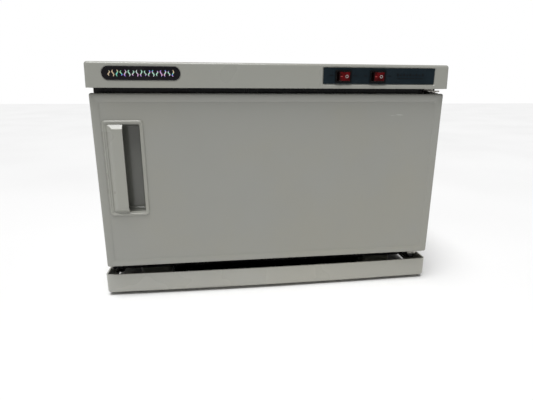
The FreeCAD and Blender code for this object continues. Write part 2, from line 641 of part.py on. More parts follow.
# ---------------------------------------------------------------- door
def make_door_shell():
    """Moulded outer door: a shallow cup with a raised border and a sunk field, open at the back."""
    shell = body("door_shell", 0, "door_front", "door_bottom")
    extrude(shell, "y", "0", "door_thick", rounded("-door_half", "door_half", "0", "door_height",
                                                   "door_corner"))
    round_edges(shell, "door_round", lambda box: box.YLength < 0.01 and near(box.YMin, 0))
    pocket(shell, "y", "door_wall", "door_thick", rounded(
        "-door_room", "door_room", "door_wall", "door_height - door_wall", "door_corner / 2"))
    extrude(shell, "y", "ledge_front", "door_thick - door_plate - sheet_gap",
            rectangle("-door_room - 1", "door_room + 1", "door_wall - 1",
                      "door_height - door_wall + 1"),
            rectangle("-door_room + ledge", "door_room - ledge", "door_wall + ledge",
                      "door_height - door_wall - ledge"))
    pocket(shell, "y", "0", "field_sink", rounded(
        "-door_half + door_border", "door_half - door_border", "door_border - 2",
        "door_height - door_border + 0.5", "3"))
    pocket(shell, "y", "0", "door_wall", rounded(
        "cup_left - cup_wall - 0.4", "cup_right + cup_wall + 0.4",
        "handle_bottom - door_bottom + handle_rim - cup_wall - 0.4",
        "handle_bottom - door_bottom + handle_height - handle_rim + cup_wall + 0.4", "5"))
    for low, high, mouth in (
            ("1", "hinge_block", "0"),
            ("door_height - hinge_block", "door_height - 1", "door_height - hinge_pin_reach - 1")):
        extrude(shell, "z", low, high, rectangle(
            "hinge_x - 7.5", "door_room + 1", "hinge_y - door_front - 7.5",
            "hinge_y - door_front + 6.5"))
        pocket(shell, "z", mouth, f"{mouth} + hinge_pin_reach + 1",
               circle("hinge_x", "hinge_y - door_front", "bush_width / 2"))


def make_door_inside():
    """Pressed inner plate, foam core, gasket, and the bar magnets behind the plate's free edge."""
    plate = body("door_plate", 0, "door_back - door_plate", "door_bottom")
    extrude(plate, "y", "0", "door_plate", rounded(
        "-door_room + sheet_gap", "door_room - sheet_gap", "door_wall + sheet_gap",
        "door_height - door_wall - sheet_gap", "door_corner / 2"))
    low = "chamber_bottom - door_bottom + dish_margin"
    high = "chamber_top - door_bottom - dish_margin"
    extrude(plate, "y", "door_plate", "door_plate + plate_dish", rounded(
        "-dish_half", "dish_half", low, high, "10"))
    pocket(plate, "y", "0", "plate_dish", rounded(
        "-dish_half + door_plate", "dish_half - door_plate", f"{low} + door_plate",
        f"{high} - door_plate", "9"))
    foam = body("door_foam", 0, "door_front + door_wall + 0.2", "door_bottom")
    extrude(foam, "y", "0", "foam_thick",
            rectangle("-door_room + ledge + 0.4", "hinge_x - 8", "door_wall + ledge + 0.4",
                      "door_height - door_wall - ledge - 0.4"),
            rectangle("cup_left - cup_wall - 1", "cup_right + cup_wall + 1",
                      "handle_bottom - door_bottom + handle_rim - cup_wall - 1",
                      "handle_bottom - door_bottom + handle_height - handle_rim + cup_wall + 1"))
    gasket = body("door_gasket", 0, "door_back", 0)
    low, high = "chamber_bottom - 2", "chamber_top + 2"
    extrude(gasket, "y", "0", "gasket_thick",
            rounded("-gasket_half - gasket_width", "gasket_half + gasket_width",
                    f"{low} - gasket_width + 1", f"{high} + gasket_width - 1", "9"),
            rounded("-gasket_half", "gasket_half", low, high, "5"))
    group("door_magnets", [
        block(f"door_magnet_{i}", ("-gasket_half - gasket_width + 1", "-gasket_half - 1"),
              ("door_back - door_plate - magnet_thick", "door_back - door_plate"),
              (low, f"{low} + magnet_length"))
        for i, low in enumerate(("door_bottom + dish_margin",
                                 "door_top - dish_margin - magnet_length"))])


def make_door_handle():
    """Inset pull: flange, cup and a bulging grip plate that the fingers reach behind."""
    handle = body("door_handle", "handle_left", "field_face", "handle_bottom")
    extrude(handle, "y", "-handle_flange", "0", rounded(
        "0", "handle_width", "0", "handle_height", "handle_corner"))
    extrude(handle, "y", "0", "handle_depth - 1", rounded(
        "handle_rim - cup_wall", "handle_width - handle_rim + cup_wall",
        "handle_rim - cup_wall", "handle_height - handle_rim + cup_wall", "5"))
    pocket(handle, "y", "-handle_flange", "handle_depth - 1 - cup_wall", rounded(
        "handle_rim", "handle_width - handle_rim", "handle_rim", "handle_height - handle_rim",
        "3.5"))
    grip = sketch_on(handle, "z", "handle_rim - 0.5")
    left, right = number("handle_rim - 1"), number("handle_rim + grip_width")
    face, wall = number("-handle_flange"), number("grip_wall")
    bulge = face - number("grip_rise")
    middle = (left + right) / 2
    outer = Part.Arc(V(left, face, 0), V(middle, bulge, 0), V(right, face, 0))
    inner = Part.Arc(V(right, face + wall, 0), V(middle, bulge + wall + 0.6, 0),
                     V(left, face + wall, 0))
    front = grip.addGeometry(outer, False)
    tip = line(grip, (right, face), (right, face + wall))
    back = grip.addGeometry(inner, False)
    root = line(grip, (left, face + wall), (left, face))
    pin_point(grip, tip, 1, "handle_rim + grip_width", "-handle_flange")
    pin_point(grip, tip, 2, "handle_rim + grip_width", "-handle_flange + grip_wall")
    pin_point(grip, root, 1, "handle_rim - 1", "-handle_flange + grip_wall")
    pin_point(grip, root, 2, "handle_rim - 1", "-handle_flange")
    joints = []
    for arc in (front, back):
        ends = {1: grip.getPoint(arc, 1), 2: grip.getPoint(arc, 2)}
        for end, spot in ends.items():
            side = tip if spot.x > middle else root
            other = 1 if (grip.getPoint(side, 1) - spot).Length < 0.01 else 2
            joints.append((arc, end, side, other))
    for arc, end, side, other in joints:
        grip.addConstraint(Sketcher.Constraint("Coincident", arc, end, side, other))
    for arc in (front, back):
        radius = grip.Geometry[arc].Radius
        grip.addConstraint(Sketcher.Constraint("Radius", arc, radius))
    pad = handle.newObject("PartDesign::Pad", "door_handle_grip")
    pad.Profile = grip
    bind(pad, "Length", "handle_height - 2 * handle_rim + 1")


# ---------------------------------------------------------------- hinges
def make_hinges():
    """Screwed-on angle and pin at each end of the door, each pin in a plastic bush in the door."""
    door_low, door_high = "door_bottom", "door_top"
    for name, low, way in (("lower", f"{door_low} - hinge_gap - hinge_sheet", -1),
                           ("upper", f"{door_high} + hinge_gap", 1)):
        bracket = body(f"hinge_bracket_{name}", "hinge_x", "body_front", low)
        extrude(bracket, "z", "0", "hinge_sheet", polygon(
            ("hinge_leaf_left", "0"), ("hinge_leaf_left", "-hinge_leaf_reach + 4"),
            ("-5", "-hinge_leaf_reach"), ("5", "-hinge_leaf_reach"),
            ("hinge_leaf_right", "-hinge_leaf_reach + 2"), ("hinge_leaf_right", "0")))
        leg = ("0", "hinge_leg_up") if way > 0 else ("hinge_leg_down", "hinge_sheet")
        extrude(bracket, "z", *leg, rectangle("hinge_leaf_left", "4", "-hinge_sheet", "0"))
        pocket(bracket, "z", "0", "hinge_sheet", circle("0", "hinge_y - body_front",
                                                        "hinge_pin / 2"))
        pin_low = low if way < 0 else f"{door_high} - hinge_pin_reach + 1"
        keep(rod(f"hinge_pin_{name}", "z", "hinge_pin / 2", ("hinge_x", "hinge_y", pin_low),
                 "hinge_sheet + hinge_gap + hinge_pin_reach - 1"))
        mouth = door_low if way < 0 else door_high
        bush = body(f"door_bush_{name}", "hinge_x", "hinge_y", mouth)
        shank = ("0", "hinge_pin_reach") if way < 0 else ("-hinge_pin_reach", "0")
        collar = ("-1", "0") if way < 0 else ("0", "1")
        extrude(bush, "z", *shank, circle("0", "0", "bush_width / 2"))
        extrude(bush, "z", *collar, circle("0", "0", "bush_flange / 2"))
        pocket(bush, "z", "-hinge_pin_reach - 1", "hinge_pin_reach + 1",
               circle("0", "0", "hinge_pin / 2 + bush_clearance"))


# ---------------------------------------------------------------- feet, rails and drip tray
def make_feet():
    """Four moulded feet with a screw well in each, and a rubber pad under each."""
    pads = []
    for depth_name, front in (("front", "foot_front"), ("rear", "foot_rear")):
        for side_name, left in (("left", "-foot_inner - foot_width"), ("right", "foot_inner")):
            foot = body(f"foot_{depth_name}_{side_name}", left, front, "pad_height")
            height = "base_level - pad_height"
            extrude(foot, "z", "0", height, rounded("0", "foot_width", "0", "foot_depth",
                                                    "foot_round"))
            round_edges(foot, "foot_round / 2", lambda box: near(box.ZMin, 0) and near(box.ZMax, 0))
            middle = ("foot_width / 2", "foot_depth / 2")
            pocket(foot, "z", "0", "foot_well_depth", circle(*middle, "foot_well / 2"))
            pocket(foot, "z", "foot_well_depth", height, circle(*middle, "foot_hole / 2"))
            pad = doc.addObject("Part::Cylinder", f"pad_{depth_name}_{side_name}")
            bind(pad, "Radius", "foot_depth / 2 - 3")
            bind(pad, "Height", "pad_height")
            pads.append(place(pad, f"{left} + foot_width / 2", f"{front} + foot_depth / 2", "0"))
    group("foot_pads", pads)


def make_tray_rails():
    """Folded runners under the floor plate; each turns outwards under the tray's lip."""
    for name, side in (("tray_rail_left", -1), ("tray_rail_right", 1)):
        rail = body(name, f"{side} * (tray_lip_inner - 1)", "rail_front", "base_level")
        drop = "tray_lip_level - base_level - 0.5"
        extrude(rail, "y", "0", "rail_rear - rail_front", polygon(
            ("0", "0"), (f"{-side} * rail_width", "0"), (f"{-side} * rail_width", "-rail_sheet"),
            (f"{-side} * rail_sheet", "-rail_sheet"), (f"{-side} * rail_sheet", f"{drop} - rail_sheet"),
            (f"{side} * 9.5", f"{drop} - rail_sheet"), (f"{side} * 9.5", drop), ("0", drop)))


def make_drip_tray():
    """Pan with a bowed front and a low rear wall; its sides run on back, each with a lip."""
    tray = body("drip_tray", 0, "tray_front", "tray_bottom")
    height = "tray_top - tray_bottom"
    depth = "tray_rear - tray_front"

    def pan(inset):
        """Plan outline: straight back and sides, and a front that bows out to its middle."""
        def draw(sketch):
            half, rear = number(f"tray_half - {inset}"), number(f"{depth} - {inset}")
            front, bow = number(inset), number("tray_bow")
            arc = sketch.addGeometry(Part.Arc(V(-half, front, 0), V(0, front - bow, 0),
                                              V(half, front, 0)), False)
            right = line(sketch, (half, front), (half, rear))
            back = line(sketch, (half, rear), (-half, rear))
            left = line(sketch, (-half, rear), (-half, front))
            for a, b in ((right, back), (back, left)):
                sketch.addConstraint(Sketcher.Constraint("Coincident", a, 2, b, 1))
            pin_point(sketch, right, 1, f"tray_half - {inset}", inset)
            pin_point(sketch, right, 2, f"tray_half - {inset}", f"{depth} - {inset}")
            pin_point(sketch, left, 1, f"-tray_half + {inset}", f"{depth} - {inset}")
            pin_point(sketch, left, 2, f"-tray_half + {inset}", inset)
            first = 1 if sketch.getPoint(arc, 1).x < 0 else 2
            sketch.addConstraint(Sketcher.Constraint("Coincident", arc, first, left, 2))
            sketch.addConstraint(Sketcher.Constraint("Coincident", arc, 3 - first, right, 1))
            held = sketch.addConstraint(
                Sketcher.Constraint("Radius", arc, sketch.Geometry[arc].Radius))
            sketch.setExpression(f"Constraints[{held}]", ex(
                f"((tray_half - {inset}) ^ 2 + tray_bow ^ 2) / (2 * tray_bow)"))
        return draw

    extrude(tray, "z", "0", height, pan("0"))
    round_edges(tray, "5", lambda box: upright(box) and near(box.YMin, 0))
    round_edges(tray, "tray_round", lambda box: near(box.ZMax, 0) and box.YMin < number(depth) - 1)
    pocket(tray, "z", "tray_wall", height, pan("tray_wall"))
    pocket(tray, "z", "tray_rear_top - tray_bottom", height, rectangle(
        "-tray_half + tray_wall", "tray_half - tray_wall", f"{depth} - tray_wall - 1",
        f"{depth} + 1"))
    lip = "tray_lip_level - tray_bottom"
    for side in (-1, 1):
        wall = sorted((f"{side} * tray_half", f"{side} * (tray_half - tray_wall)"), key=number)
        reach = sorted((f"{side} * tray_half", f"{side} * tray_lip_inner"), key=number)
        extrude(tray, "y", f"{depth} - 1", "tray_side_rear - tray_front",
                rectangle(*wall, "0", height))
        extrude(tray, "y", depth, "tray_lip_rear - tray_front",
                rectangle(*reach, lip, f"{lip} + tray_wall"))


# ---------------------------------------------------------------- cord inlet
def make_cable_gland():
    """Moulded bush in the back that the supply cord leaves through."""
    gland = body("cable_gland", "gland_x", "body_rear", "gland_level")
    barrel = "gland_bore / 2 + gland_wall"
    extrude(gland, "y", "0", "gland_collar", circle("0", "0", "gland_bore / 2 + gland_flange"))
    extrude(gland, "y", "gland_collar", "gland_end - body_rear", circle("0", "0", barrel))
    extrude(gland, "y", "-gland_inside", "0", circle("0", "0", barrel))
    pocket(gland, "y", "-gland_inside", "gland_end - body_rear", circle("0", "0", "gland_bore / 2"))


# ---------------------------------------------------------------- fasteners
def make_screws():
    """Each size is shank radius, length, head radius and head height."""
    sheet_screw = ("1.7", "9", "3.4", "2.2")
    group("lid_screws", [
        screw(f"lid_screw_{side_name}_{end}", "x", side,
              (f"{side} * (lid_half - 0.5)", f"lid_screw_{end}", "body_top + lid_screw_rise"),
              *sheet_screw)
        for side_name, side in (("left", -1), ("right", 1)) for end in ("front", "rear")])
    screws("rear_screws", "y", 1, [(x, "body_rear", z) for x in ("-217", "217")
                                   for z in ("82", "165", "258")], "1.7", "8", "3.4", "2.2")
    screws("foot_screws", "z", -1, [
        (f"{side} * (foot_inner + foot_width / 2)", f"{front} + foot_depth / 2",
         "pad_height + foot_well_depth")
        for side in (-1, 1) for front in ("foot_front", "foot_rear")], "2.2", "28", "4.5", "3")
    screws("hinge_screws", "y", -1, [
        (f"hinge_x + {offset}", "body_front - hinge_sheet", z)
        for z in ("body_top + 10", "skirt_bottom + 4.4") for offset in ("-5.5", "0.5")],
        "1.5", "hinge_sheet + frame_wall", "2.5", "1.6")
    screws("door_screws", "y", 1, [
        (f"{side} * (door_room - ledge / 2)", "door_back", z) for side in (-1, 1)
        for z in ("door_bottom + door_screw_margin", "door_bottom + door_height / 2",
                  "door_top - door_screw_margin")], "1.4", "6", "2", "1.2")


make_outer_shell()
make_rear_panel()
make_base_pan()
make_bottom_cover()
make_front_frame()
make_chamber_liner()
make_insulation()
make_heater()
make_controls_inside()
make_lamp()
make_lamp_gear()
make_rack()
make_lid()
make_lid_plates()
make_switch("heat", "heat_switch_x")
make_switch("lamp", "lamp_switch_x")
make_switch_tabs()
make_lid_brackets()
make_door_shell()
make_door_inside()
make_door_handle()
make_hinges()
make_feet()
make_tray_rails()
make_drip_tray()
make_cable_gland()
make_screws()

# ---------------------------------------------------------------- checks and files
doc.recompute()
for thing in doc.Objects:
    bad = {"Invalid", "Error"} & set(thing.State)
    if bad:
        raise RuntimeError(f"{thing.Name} did not rebuild: {bad}")
    if thing.isDerivedFrom("PartDesign::Pocket"):
        before = thing.BaseFeature.Shape.Volume
        if thing.Shape.Volume > before - 0.01:
            raise RuntimeError(f"{thing.Name} cuts nothing")
for thing in nodes:
    if thing.Shape.isNull() or not thing.Shape.isValid():
        raise RuntimeError(f"{thing.Label} has no valid shape")

os.makedirs("parts", exist_ok=True)
whole = FreeCAD.BoundBox()
for thing in nodes:
    thing.Shape.exportStep(os.path.join("parts", thing.Label + ".step"))
    whole.add(thing.Shape.BoundBox)
print(len(nodes), "nodes;", whole)
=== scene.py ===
import json
import math

import bmesh
import bpy
from mathutils import Matrix, Vector


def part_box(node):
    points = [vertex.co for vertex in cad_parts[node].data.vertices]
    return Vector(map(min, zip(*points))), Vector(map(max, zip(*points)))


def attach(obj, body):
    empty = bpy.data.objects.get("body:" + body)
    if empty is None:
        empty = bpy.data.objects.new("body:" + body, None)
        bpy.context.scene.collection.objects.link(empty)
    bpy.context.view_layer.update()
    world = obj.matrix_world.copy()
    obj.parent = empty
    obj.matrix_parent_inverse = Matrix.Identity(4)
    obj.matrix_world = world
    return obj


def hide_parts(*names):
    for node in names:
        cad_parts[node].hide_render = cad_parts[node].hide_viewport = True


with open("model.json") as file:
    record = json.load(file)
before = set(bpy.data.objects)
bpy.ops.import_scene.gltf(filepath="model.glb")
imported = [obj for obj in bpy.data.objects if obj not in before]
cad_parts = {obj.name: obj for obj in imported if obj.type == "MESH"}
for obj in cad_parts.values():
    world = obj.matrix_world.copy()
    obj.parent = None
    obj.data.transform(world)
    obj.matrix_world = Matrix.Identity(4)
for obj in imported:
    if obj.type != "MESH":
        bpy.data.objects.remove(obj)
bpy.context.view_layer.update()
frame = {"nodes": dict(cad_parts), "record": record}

# The looks of the cabinet. Every piece stands where its CAD node stands, and lengths are in
# metres. A repainted node is shown as it is, a finished copy softens its edges, and the pieces
# that the build functions make have shapes of their own.

MM = 0.001


# ---------------------------------------------------------------- node helpers
class Finish:
    """A material in the making: one shader, and the nodes that vary it over the surface."""

    def __init__(self, name, colour, roughness, metallic=0.0, **constants):
        self.material = bpy.data.materials.new(name)
        self.material.use_nodes = True
        self.tree = self.material.node_tree
        self.shader = self.tree.nodes["Principled BSDF"]
        self.set(self.shader, {"Base Color": (*colour, 1), "Roughness": roughness,
                               "Metallic": metallic,
                               **{key.replace("_", " "): value
                                  for key, value in constants.items()}})
        self.coordinates = self.tree.nodes.new("ShaderNodeTexCoord").outputs["Object"]
        self.bumps = None

    def set(self, node, values):
        """Fill in a node's inputs by name."""
        for name, value in values.items():
            node.inputs[name].default_value = value

    def join(self, source, node, name):
        """Feed a socket into a node's input."""
        self.tree.links.new(source, node.inputs[name])

    def mapped(self, stretch=(1, 1, 1), offset=(0, 0, 0)):
        """The part's own coordinates in metres, stretched and moved."""
        node = self.tree.nodes.new("ShaderNodeMapping")
        self.set(node, {"Scale": stretch, "Location": offset})
        self.join(self.coordinates, node, "Vector")
        return node.outputs["Vector"]

    def noise(self, scale, detail=3, rough=0.5, stretch=(1, 1, 1)):
        """Clouds or grain, with this many features to the metre."""
        node = self.tree.nodes.new("ShaderNodeTexNoise")
        self.set(node, {"Scale": scale, "Detail": detail, "Roughness": rough})
        self.join(self.mapped(stretch), node, "Vector")
        return node.outputs["Fac"]

    def cells(self, scale):
        """Distance from the middle of scattered spots."""
        node = self.tree.nodes.new("ShaderNodeTexVoronoi")
        self.set(node, {"Scale": scale})
        self.join(self.mapped(), node, "Vector")
        return node.outputs["Distance"]

    def level(self, source, low, high, to_low=0.0, to_high=1.0):
        """Turn the range from low to high into another one, with soft shoulders."""
        node = self.tree.nodes.new("ShaderNodeMapRange")
        node.interpolation_type = "SMOOTHSTEP"
        self.set(node, {"From Min": low, "From Max": high, "To Min": to_low, "To Max": to_high})
        self.join(source, node, "Value")
        return node.outputs["Result"]

    def times(self, a, b):
        """The product of two values."""
        return self.maths("MULTIPLY", a, b)

    def maths(self, operation, a, b):
        """One sum on two values, each a number or a socket."""
        node = self.tree.nodes.new("ShaderNodeMath")
        node.operation = operation
        for i, value in enumerate((a, b)):
            if isinstance(value, (int, float)):
                node.inputs[i].default_value = value
            else:
                self.tree.links.new(value, node.inputs[i])
        return node.outputs[0]

    def mix(self, factor, a, b):
        """Colour a where the factor is 0, and b where it is 1."""
        node = self.tree.nodes.new("ShaderNodeMix")
        node.data_type = "RGBA"
        first, second, result = node.inputs[6], node.inputs[7], node.outputs[2]
        self.tree.links.new(factor, node.inputs["Factor"])
        for socket, value in ((first, a), (second, b)):
            if isinstance(value, tuple):
                socket.default_value = (*value, 1)
            else:
                self.tree.links.new(value, socket)
        return result

    def ramp(self, source, *stops):
        """Colours along a value, each stop a place from 0 to 1 and a colour."""
        node = self.tree.nodes.new("ShaderNodeValToRGB")
        while len(node.color_ramp.elements) < len(stops):
            node.color_ramp.elements.new(0.5)
        for element, (place, colour) in zip(node.color_ramp.elements, stops):
            element.position = place
            element.color = (*colour, 1)
        self.join(source, node, "Fac")
        return node.outputs["Color"]

    def colour(self, source):
        """Let a socket set the surface's colour."""
        self.join(source, self.shader, "Base Color")

    def roughness(self, source):
        """Let a socket set how matt the surface is."""
        self.join(source, self.shader, "Roughness")

    def bump(self, height, depth, strength=1.0):
        """Relief of a real depth in metres; several calls build on each other."""
        node = self.tree.nodes.new("ShaderNodeBump")
        self.set(node, {"Strength": strength, "Distance": depth})
        self.join(height, node, "Height")
        if self.bumps is not None:
            self.join(self.bumps, node, "Normal")
        self.bumps = node.outputs["Normal"]
        self.join(self.bumps, self.shader, "Normal")


# ---------------------------------------------------------------- finishes
def moulded_plastic(name, colour, roughness=0.3):
    """Injection-moulded ABS, glossy but handled for years: faint yellowing, grime and haze."""
    warm = tuple(channel * tint for channel, tint in zip(colour, (1.02, 1.0, 0.95)))
    dull = tuple(channel * 0.965 for channel in colour)
    finish = Finish(name, colour, roughness, IOR=1.5, Coat_Weight=0.2, Coat_Roughness=0.08)
    aged = finish.level(finish.noise(5, 4, 0.6), 0.38, 0.66)
    body = finish.mix(aged, colour, warm)
    grime = finish.level(finish.noise(24, 3, 0.5), 0.4, 0.8, 0, 0.25)
    body = finish.mix(grime, body, dull)
    specks = finish.level(finish.cells(420), 0.06, 0.03, 0, 0.35)
    rare = finish.level(finish.noise(55, 2), 0.64, 0.72)
    body = finish.mix(finish.times(specks, rare), body, (0.1, 0.095, 0.085))
    finish.body = body
    finish.colour(body)
    haze = finish.level(finish.noise(12, 2, 0.5), 0.3, 0.7, roughness - 0.03, roughness + 0.05)
    finish.roughness(haze)
    finish.bump(finish.noise(6, 0, 0.4), 0.0005, 0.06)
    finish.bump(finish.noise(1500, 2, 0.5), 0.00001, 0.3)
    return finish


def scuffed(finish, centre, size):
    """A short pale rub mark, broken up by the grain of the surface."""
    node = finish.tree.nodes.new("ShaderNodeTexGradient")
    node.gradient_type = "SPHERICAL"
    stretch = tuple(1 / half for half in size)
    offset = tuple(-middle / half for middle, half in zip(centre, size))
    finish.join(finish.mapped(stretch, offset), node, "Vector")
    streaks = finish.level(finish.noise(900, 3, 0.6, (0.12, 1, 1)), 0.42, 0.62)
    mark = finish.times(finish.times(node.outputs["Fac"], streaks), 0.9)
    finish.colour(finish.mix(mark, finish.body, (0.56, 0.56, 0.54)))


def powder_coat(name, colour, roughness=0.42):
    """Sprayed and baked sheet steel, with orange peel and a few worn specks."""
    finish = Finish(name, colour, roughness, IOR=1.5)
    shade = tuple(channel * 0.93 for channel in colour)
    body = finish.mix(finish.level(finish.noise(5, 4, 0.6), 0.35, 0.7), colour, shade)
    chips = finish.times(finish.level(finish.cells(150), 0.07, 0.04),
                         finish.level(finish.noise(22, 3), 0.66, 0.72))
    finish.colour(finish.mix(chips, body, (0.23, 0.22, 0.21)))
    finish.roughness(finish.level(finish.noise(30, 4), 0.3, 0.7, roughness - 0.06,
                                  roughness + 0.1))
    finish.bump(finish.noise(900, 3, 0.55), 0.00005, 0.5)
    finish.bump(finish.noise(14, 2), 0.0004, 0.2)
    return finish.material


def black_enamel(name):
    """Glossy black stove enamel with dust and faint wiping marks."""
    base = (0.007, 0.006, 0.008)
    finish = Finish(name, base, 0.2, IOR=1.5, Specular_IOR_Level=0.3)
    dust = finish.level(finish.noise(90, 6, 0.75), 0.5, 0.85, 0, 0.3)
    finish.colour(finish.mix(dust, base, (0.035, 0.032, 0.028)))
    finish.roughness(finish.level(finish.noise(34, 5, 0.6), 0.3, 0.75, 0.14, 0.34))
    finish.bump(finish.noise(700, 2), 0.00003, 0.4)
    return finish.material


def rolled_aluminium(name, along=(1, 14, 14)):
    """Mill-finish aluminium sheet: rolling lines, cloudy reflections and water spots."""
    finish = Finish(name, (0.75, 0.755, 0.765), 0.28, 1.0)
    lines = finish.noise(120, 3, 0.6, along)
    finish.colour(finish.mix(finish.level(lines, 0.35, 0.65), (0.70, 0.705, 0.72),
                             (0.80, 0.80, 0.80)))
    spots = finish.level(finish.cells(90), 0.2, 0.34, 0, 0.035)
    finish.roughness(finish.maths("ADD", finish.level(finish.noise(18, 4), 0.3, 0.7, 0.2, 0.36),
                                  spots))
    finish.bump(lines, 0.00003, 0.5)
    finish.bump(finish.noise(6, 2), 0.0012, 0.3)
    return finish.material


def plated_steel(name, tint=(0.62, 0.60, 0.55), roughness=0.34):
    """Zinc plating, a little clouded and yellowed, with darker blooms."""
    finish = Finish(name, tint, roughness, 1.0)
    blooms = finish.level(finish.cells(260), 0.15, 0.5)
    dark = tuple(channel * 0.78 for channel in tint)
    finish.colour(finish.mix(blooms, dark, tint))
    finish.roughness(finish.level(finish.noise(240, 4), 0.3, 0.7, roughness - 0.08,
                                  roughness + 0.14))
    finish.bump(finish.noise(1400, 2), 0.00002, 0.5)
    return finish.material


def bright_chrome(name):
    """Chromed wire with lime spots from the steam."""
    finish = Finish(name, (0.80, 0.80, 0.81), 0.08, 1.0)
    lime = finish.times(finish.level(finish.cells(330), 0.16, 0.08),
                        finish.level(finish.noise(40, 3), 0.5, 0.62))
    finish.colour(finish.mix(lime, (0.80, 0.80, 0.81), (0.66, 0.65, 0.62)))
    finish.roughness(finish.level(finish.noise(60, 4), 0.35, 0.7, 0.06, 0.2))
    return finish.material


def cast_resin(name, colour, roughness=0.5, gloss=0.5, grain=700):
    """Matt engineering plastic with a fine spark-eroded texture."""
    finish = Finish(name, colour, roughness, IOR=1.49, Specular_IOR_Level=gloss)
    pale = tuple(min(1, channel * 1.12 + 0.002) for channel in colour)
    finish.colour(finish.mix(finish.level(finish.noise(60, 5, 0.7), 0.45, 0.8), colour, pale))
    finish.roughness(finish.level(finish.noise(120, 3), 0.3, 0.7, roughness - 0.07,
                                  roughness + 0.1))
    finish.bump(finish.noise(grain, 3, 0.6), 0.00006, 0.5)
    return finish.material


def soft_rubber(name, colour, roughness=0.62):
    """Dull rubber or ferrite with a pale bloom."""
    finish = Finish(name, colour, roughness, IOR=1.45, Specular_IOR_Level=0.35)
    bloom = tuple(channel * 1.5 + 0.01 for channel in colour)
    finish.colour(finish.mix(finish.level(finish.noise(70, 5, 0.7), 0.45, 0.85, 0, 0.7), colour,
                             bloom))
    finish.roughness(finish.level(finish.noise(90, 3), 0.3, 0.7, roughness - 0.1,
                                  roughness + 0.12))
    finish.bump(finish.noise(1100, 3), 0.00005, 0.5)
    return finish.material


def mineral_felt(name, colour):
    """Matted fibres, for the glass wool and the foam's cut faces."""
    finish = Finish(name, colour, 0.95)
    shade = tuple(channel * 0.7 for channel in colour)
    fibres = finish.noise(300, 6, 0.8, (1, 1, 4))
    finish.colour(finish.mix(fibres, shade, colour))
    finish.bump(fibres, 0.0008, 0.8)
    return finish.material


def printed_film(name):
    """Dark blue-grey film under a clear gloss."""
    base = (0.0095, 0.0165, 0.0215)
    finish = Finish(name, base, 0.22, IOR=1.5, Specular_IOR_Level=0.12)
    finish.colour(finish.mix(finish.level(finish.noise(50, 4), 0.4, 0.75), base,
                             (0.013, 0.022, 0.029)))
    finish.roughness(finish.level(finish.noise(30, 5, 0.65), 0.35, 0.75, 0.18, 0.34))
    finish.bump(finish.noise(800, 2), 0.00002, 0.4)
    return finish.material


def iridescent_foil(name):
    """Hot-stamped foil whose hue runs through blue, violet, green and rose along its length."""
    finish = Finish(name, (0.5, 0.5, 0.6), 0.25, 0.35)
    drift = finish.noise(75, 1, 0.4, (1, 1, 2.0))
    hues = finish.ramp(drift, (0.34, (0.80, 0.62, 0.42)), (0.41, (0.28, 0.85, 0.50)),
                       (0.47, (0.12, 0.60, 1.0)), (0.53, (0.36, 0.24, 1.0)),
                       (0.60, (0.95, 0.55, 0.80)), (0.68, (0.55, 0.95, 0.75)))
    finish.colour(hues)
    finish.roughness(finish.level(finish.noise(300, 3), 0.3, 0.7, 0.18, 0.4))
    finish.bump(finish.noise(2500, 2), 0.00001, 0.5)
    return finish.material


def clear_red(name, painted_shade_end):
    """Deep red see-through plastic over a dark mechanism, with painted shade over its left end."""
    finish = Finish(name, (0.10, 0.003, 0.005), 0.16, IOR=1.49, Specular_IOR_Level=0.2)
    depth = finish.noise(180, 2, 0.4)
    red = finish.mix(finish.level(depth, 0.35, 0.7), (0.045, 0.001, 0.0015), (0.12, 0.002, 0.004))
    split = finish.tree.nodes.new("ShaderNodeSeparateXYZ")
    finish.join(finish.mapped(), split, "Vector")
    # Left of this edge the rocker's red gives way to painted shade.
    lit = finish.level(split.outputs["X"], painted_shade_end - 0.3 * MM, painted_shade_end + 0.3 * MM)
    finish.colour(finish.mix(lit, (0.006, 0.001, 0.001), red))
    finish.roughness(finish.level(finish.noise(220, 3), 0.3, 0.7, 0.12, 0.24))
    return finish.material


def quartz(name):
    """Clear lamp glass, a little clouded by the steam."""
    finish = Finish(name, (0.93, 0.96, 1.0), 0.04, IOR=1.46, Transmission_Weight=0.85)
    finish.roughness(finish.level(finish.noise(40, 3), 0.3, 0.7, 0.02, 0.09))
    return finish.material


def print_ink(name, colour):
    """Thin matt print, faded in patches."""
    finish = Finish(name, colour, 0.45, Specular_IOR_Level=0.15)
    faded = tuple(channel * 0.8 for channel in colour)
    finish.colour(finish.mix(finish.level(finish.noise(400, 4), 0.4, 0.7), faded, colour))
    return finish.material


plastic = moulded_plastic("cabinet_plastic", (0.335, 0.338, 0.305)).material
door_finish = moulded_plastic("door_plastic", (0.305, 0.307, 0.280), 0.22)
scuffed(door_finish, (0.1615, -0.1328, 0.2435), (0.011, 0.02, 0.0016))
door_plastic = door_finish.material
tray_plastic = moulded_plastic("tray_plastic", (0.40, 0.40, 0.365), 0.28).material
# The finger pocket's plastic is darkened well below the cover's: painted shade for the shadow
# inside the pocket.
pocket_painted_shade = moulded_plastic("pull_pocket_plastic", (0.135, 0.138, 0.123), 0.2).material
sheet_paint = powder_coat("side_paint", (0.42, 0.415, 0.39))
gear_paint = powder_coat("gear_case_paint", (0.5, 0.51, 0.52), 0.35)
enamel = black_enamel("black_enamel")
liner_metal = rolled_aluminium("liner_aluminium")
guard_metal = rolled_aluminium("guard_aluminium", (14, 1, 14))
zinc = plated_steel("zinc_plate")
element_metal = plated_steel("element_sheath", (0.36, 0.31, 0.27), 0.45)
lamp_end_metal = plated_steel("lamp_cap_metal", (0.78, 0.78, 0.78), 0.3)
tab_metal = plated_steel("tab_brass", (0.72, 0.56, 0.28), 0.3)
chrome = bright_chrome("rack_chrome")
white_resin = cast_resin("white_resin", (0.72, 0.71, 0.68))
black_resin = cast_resin("switch_resin", (0.003, 0.003, 0.0035), 0.36, 0.15)
bush_resin = cast_resin("bush_resin", (0.78, 0.77, 0.74), 0.4)
pad_rubber = soft_rubber("pad_rubber", (0.02, 0.02, 0.02))
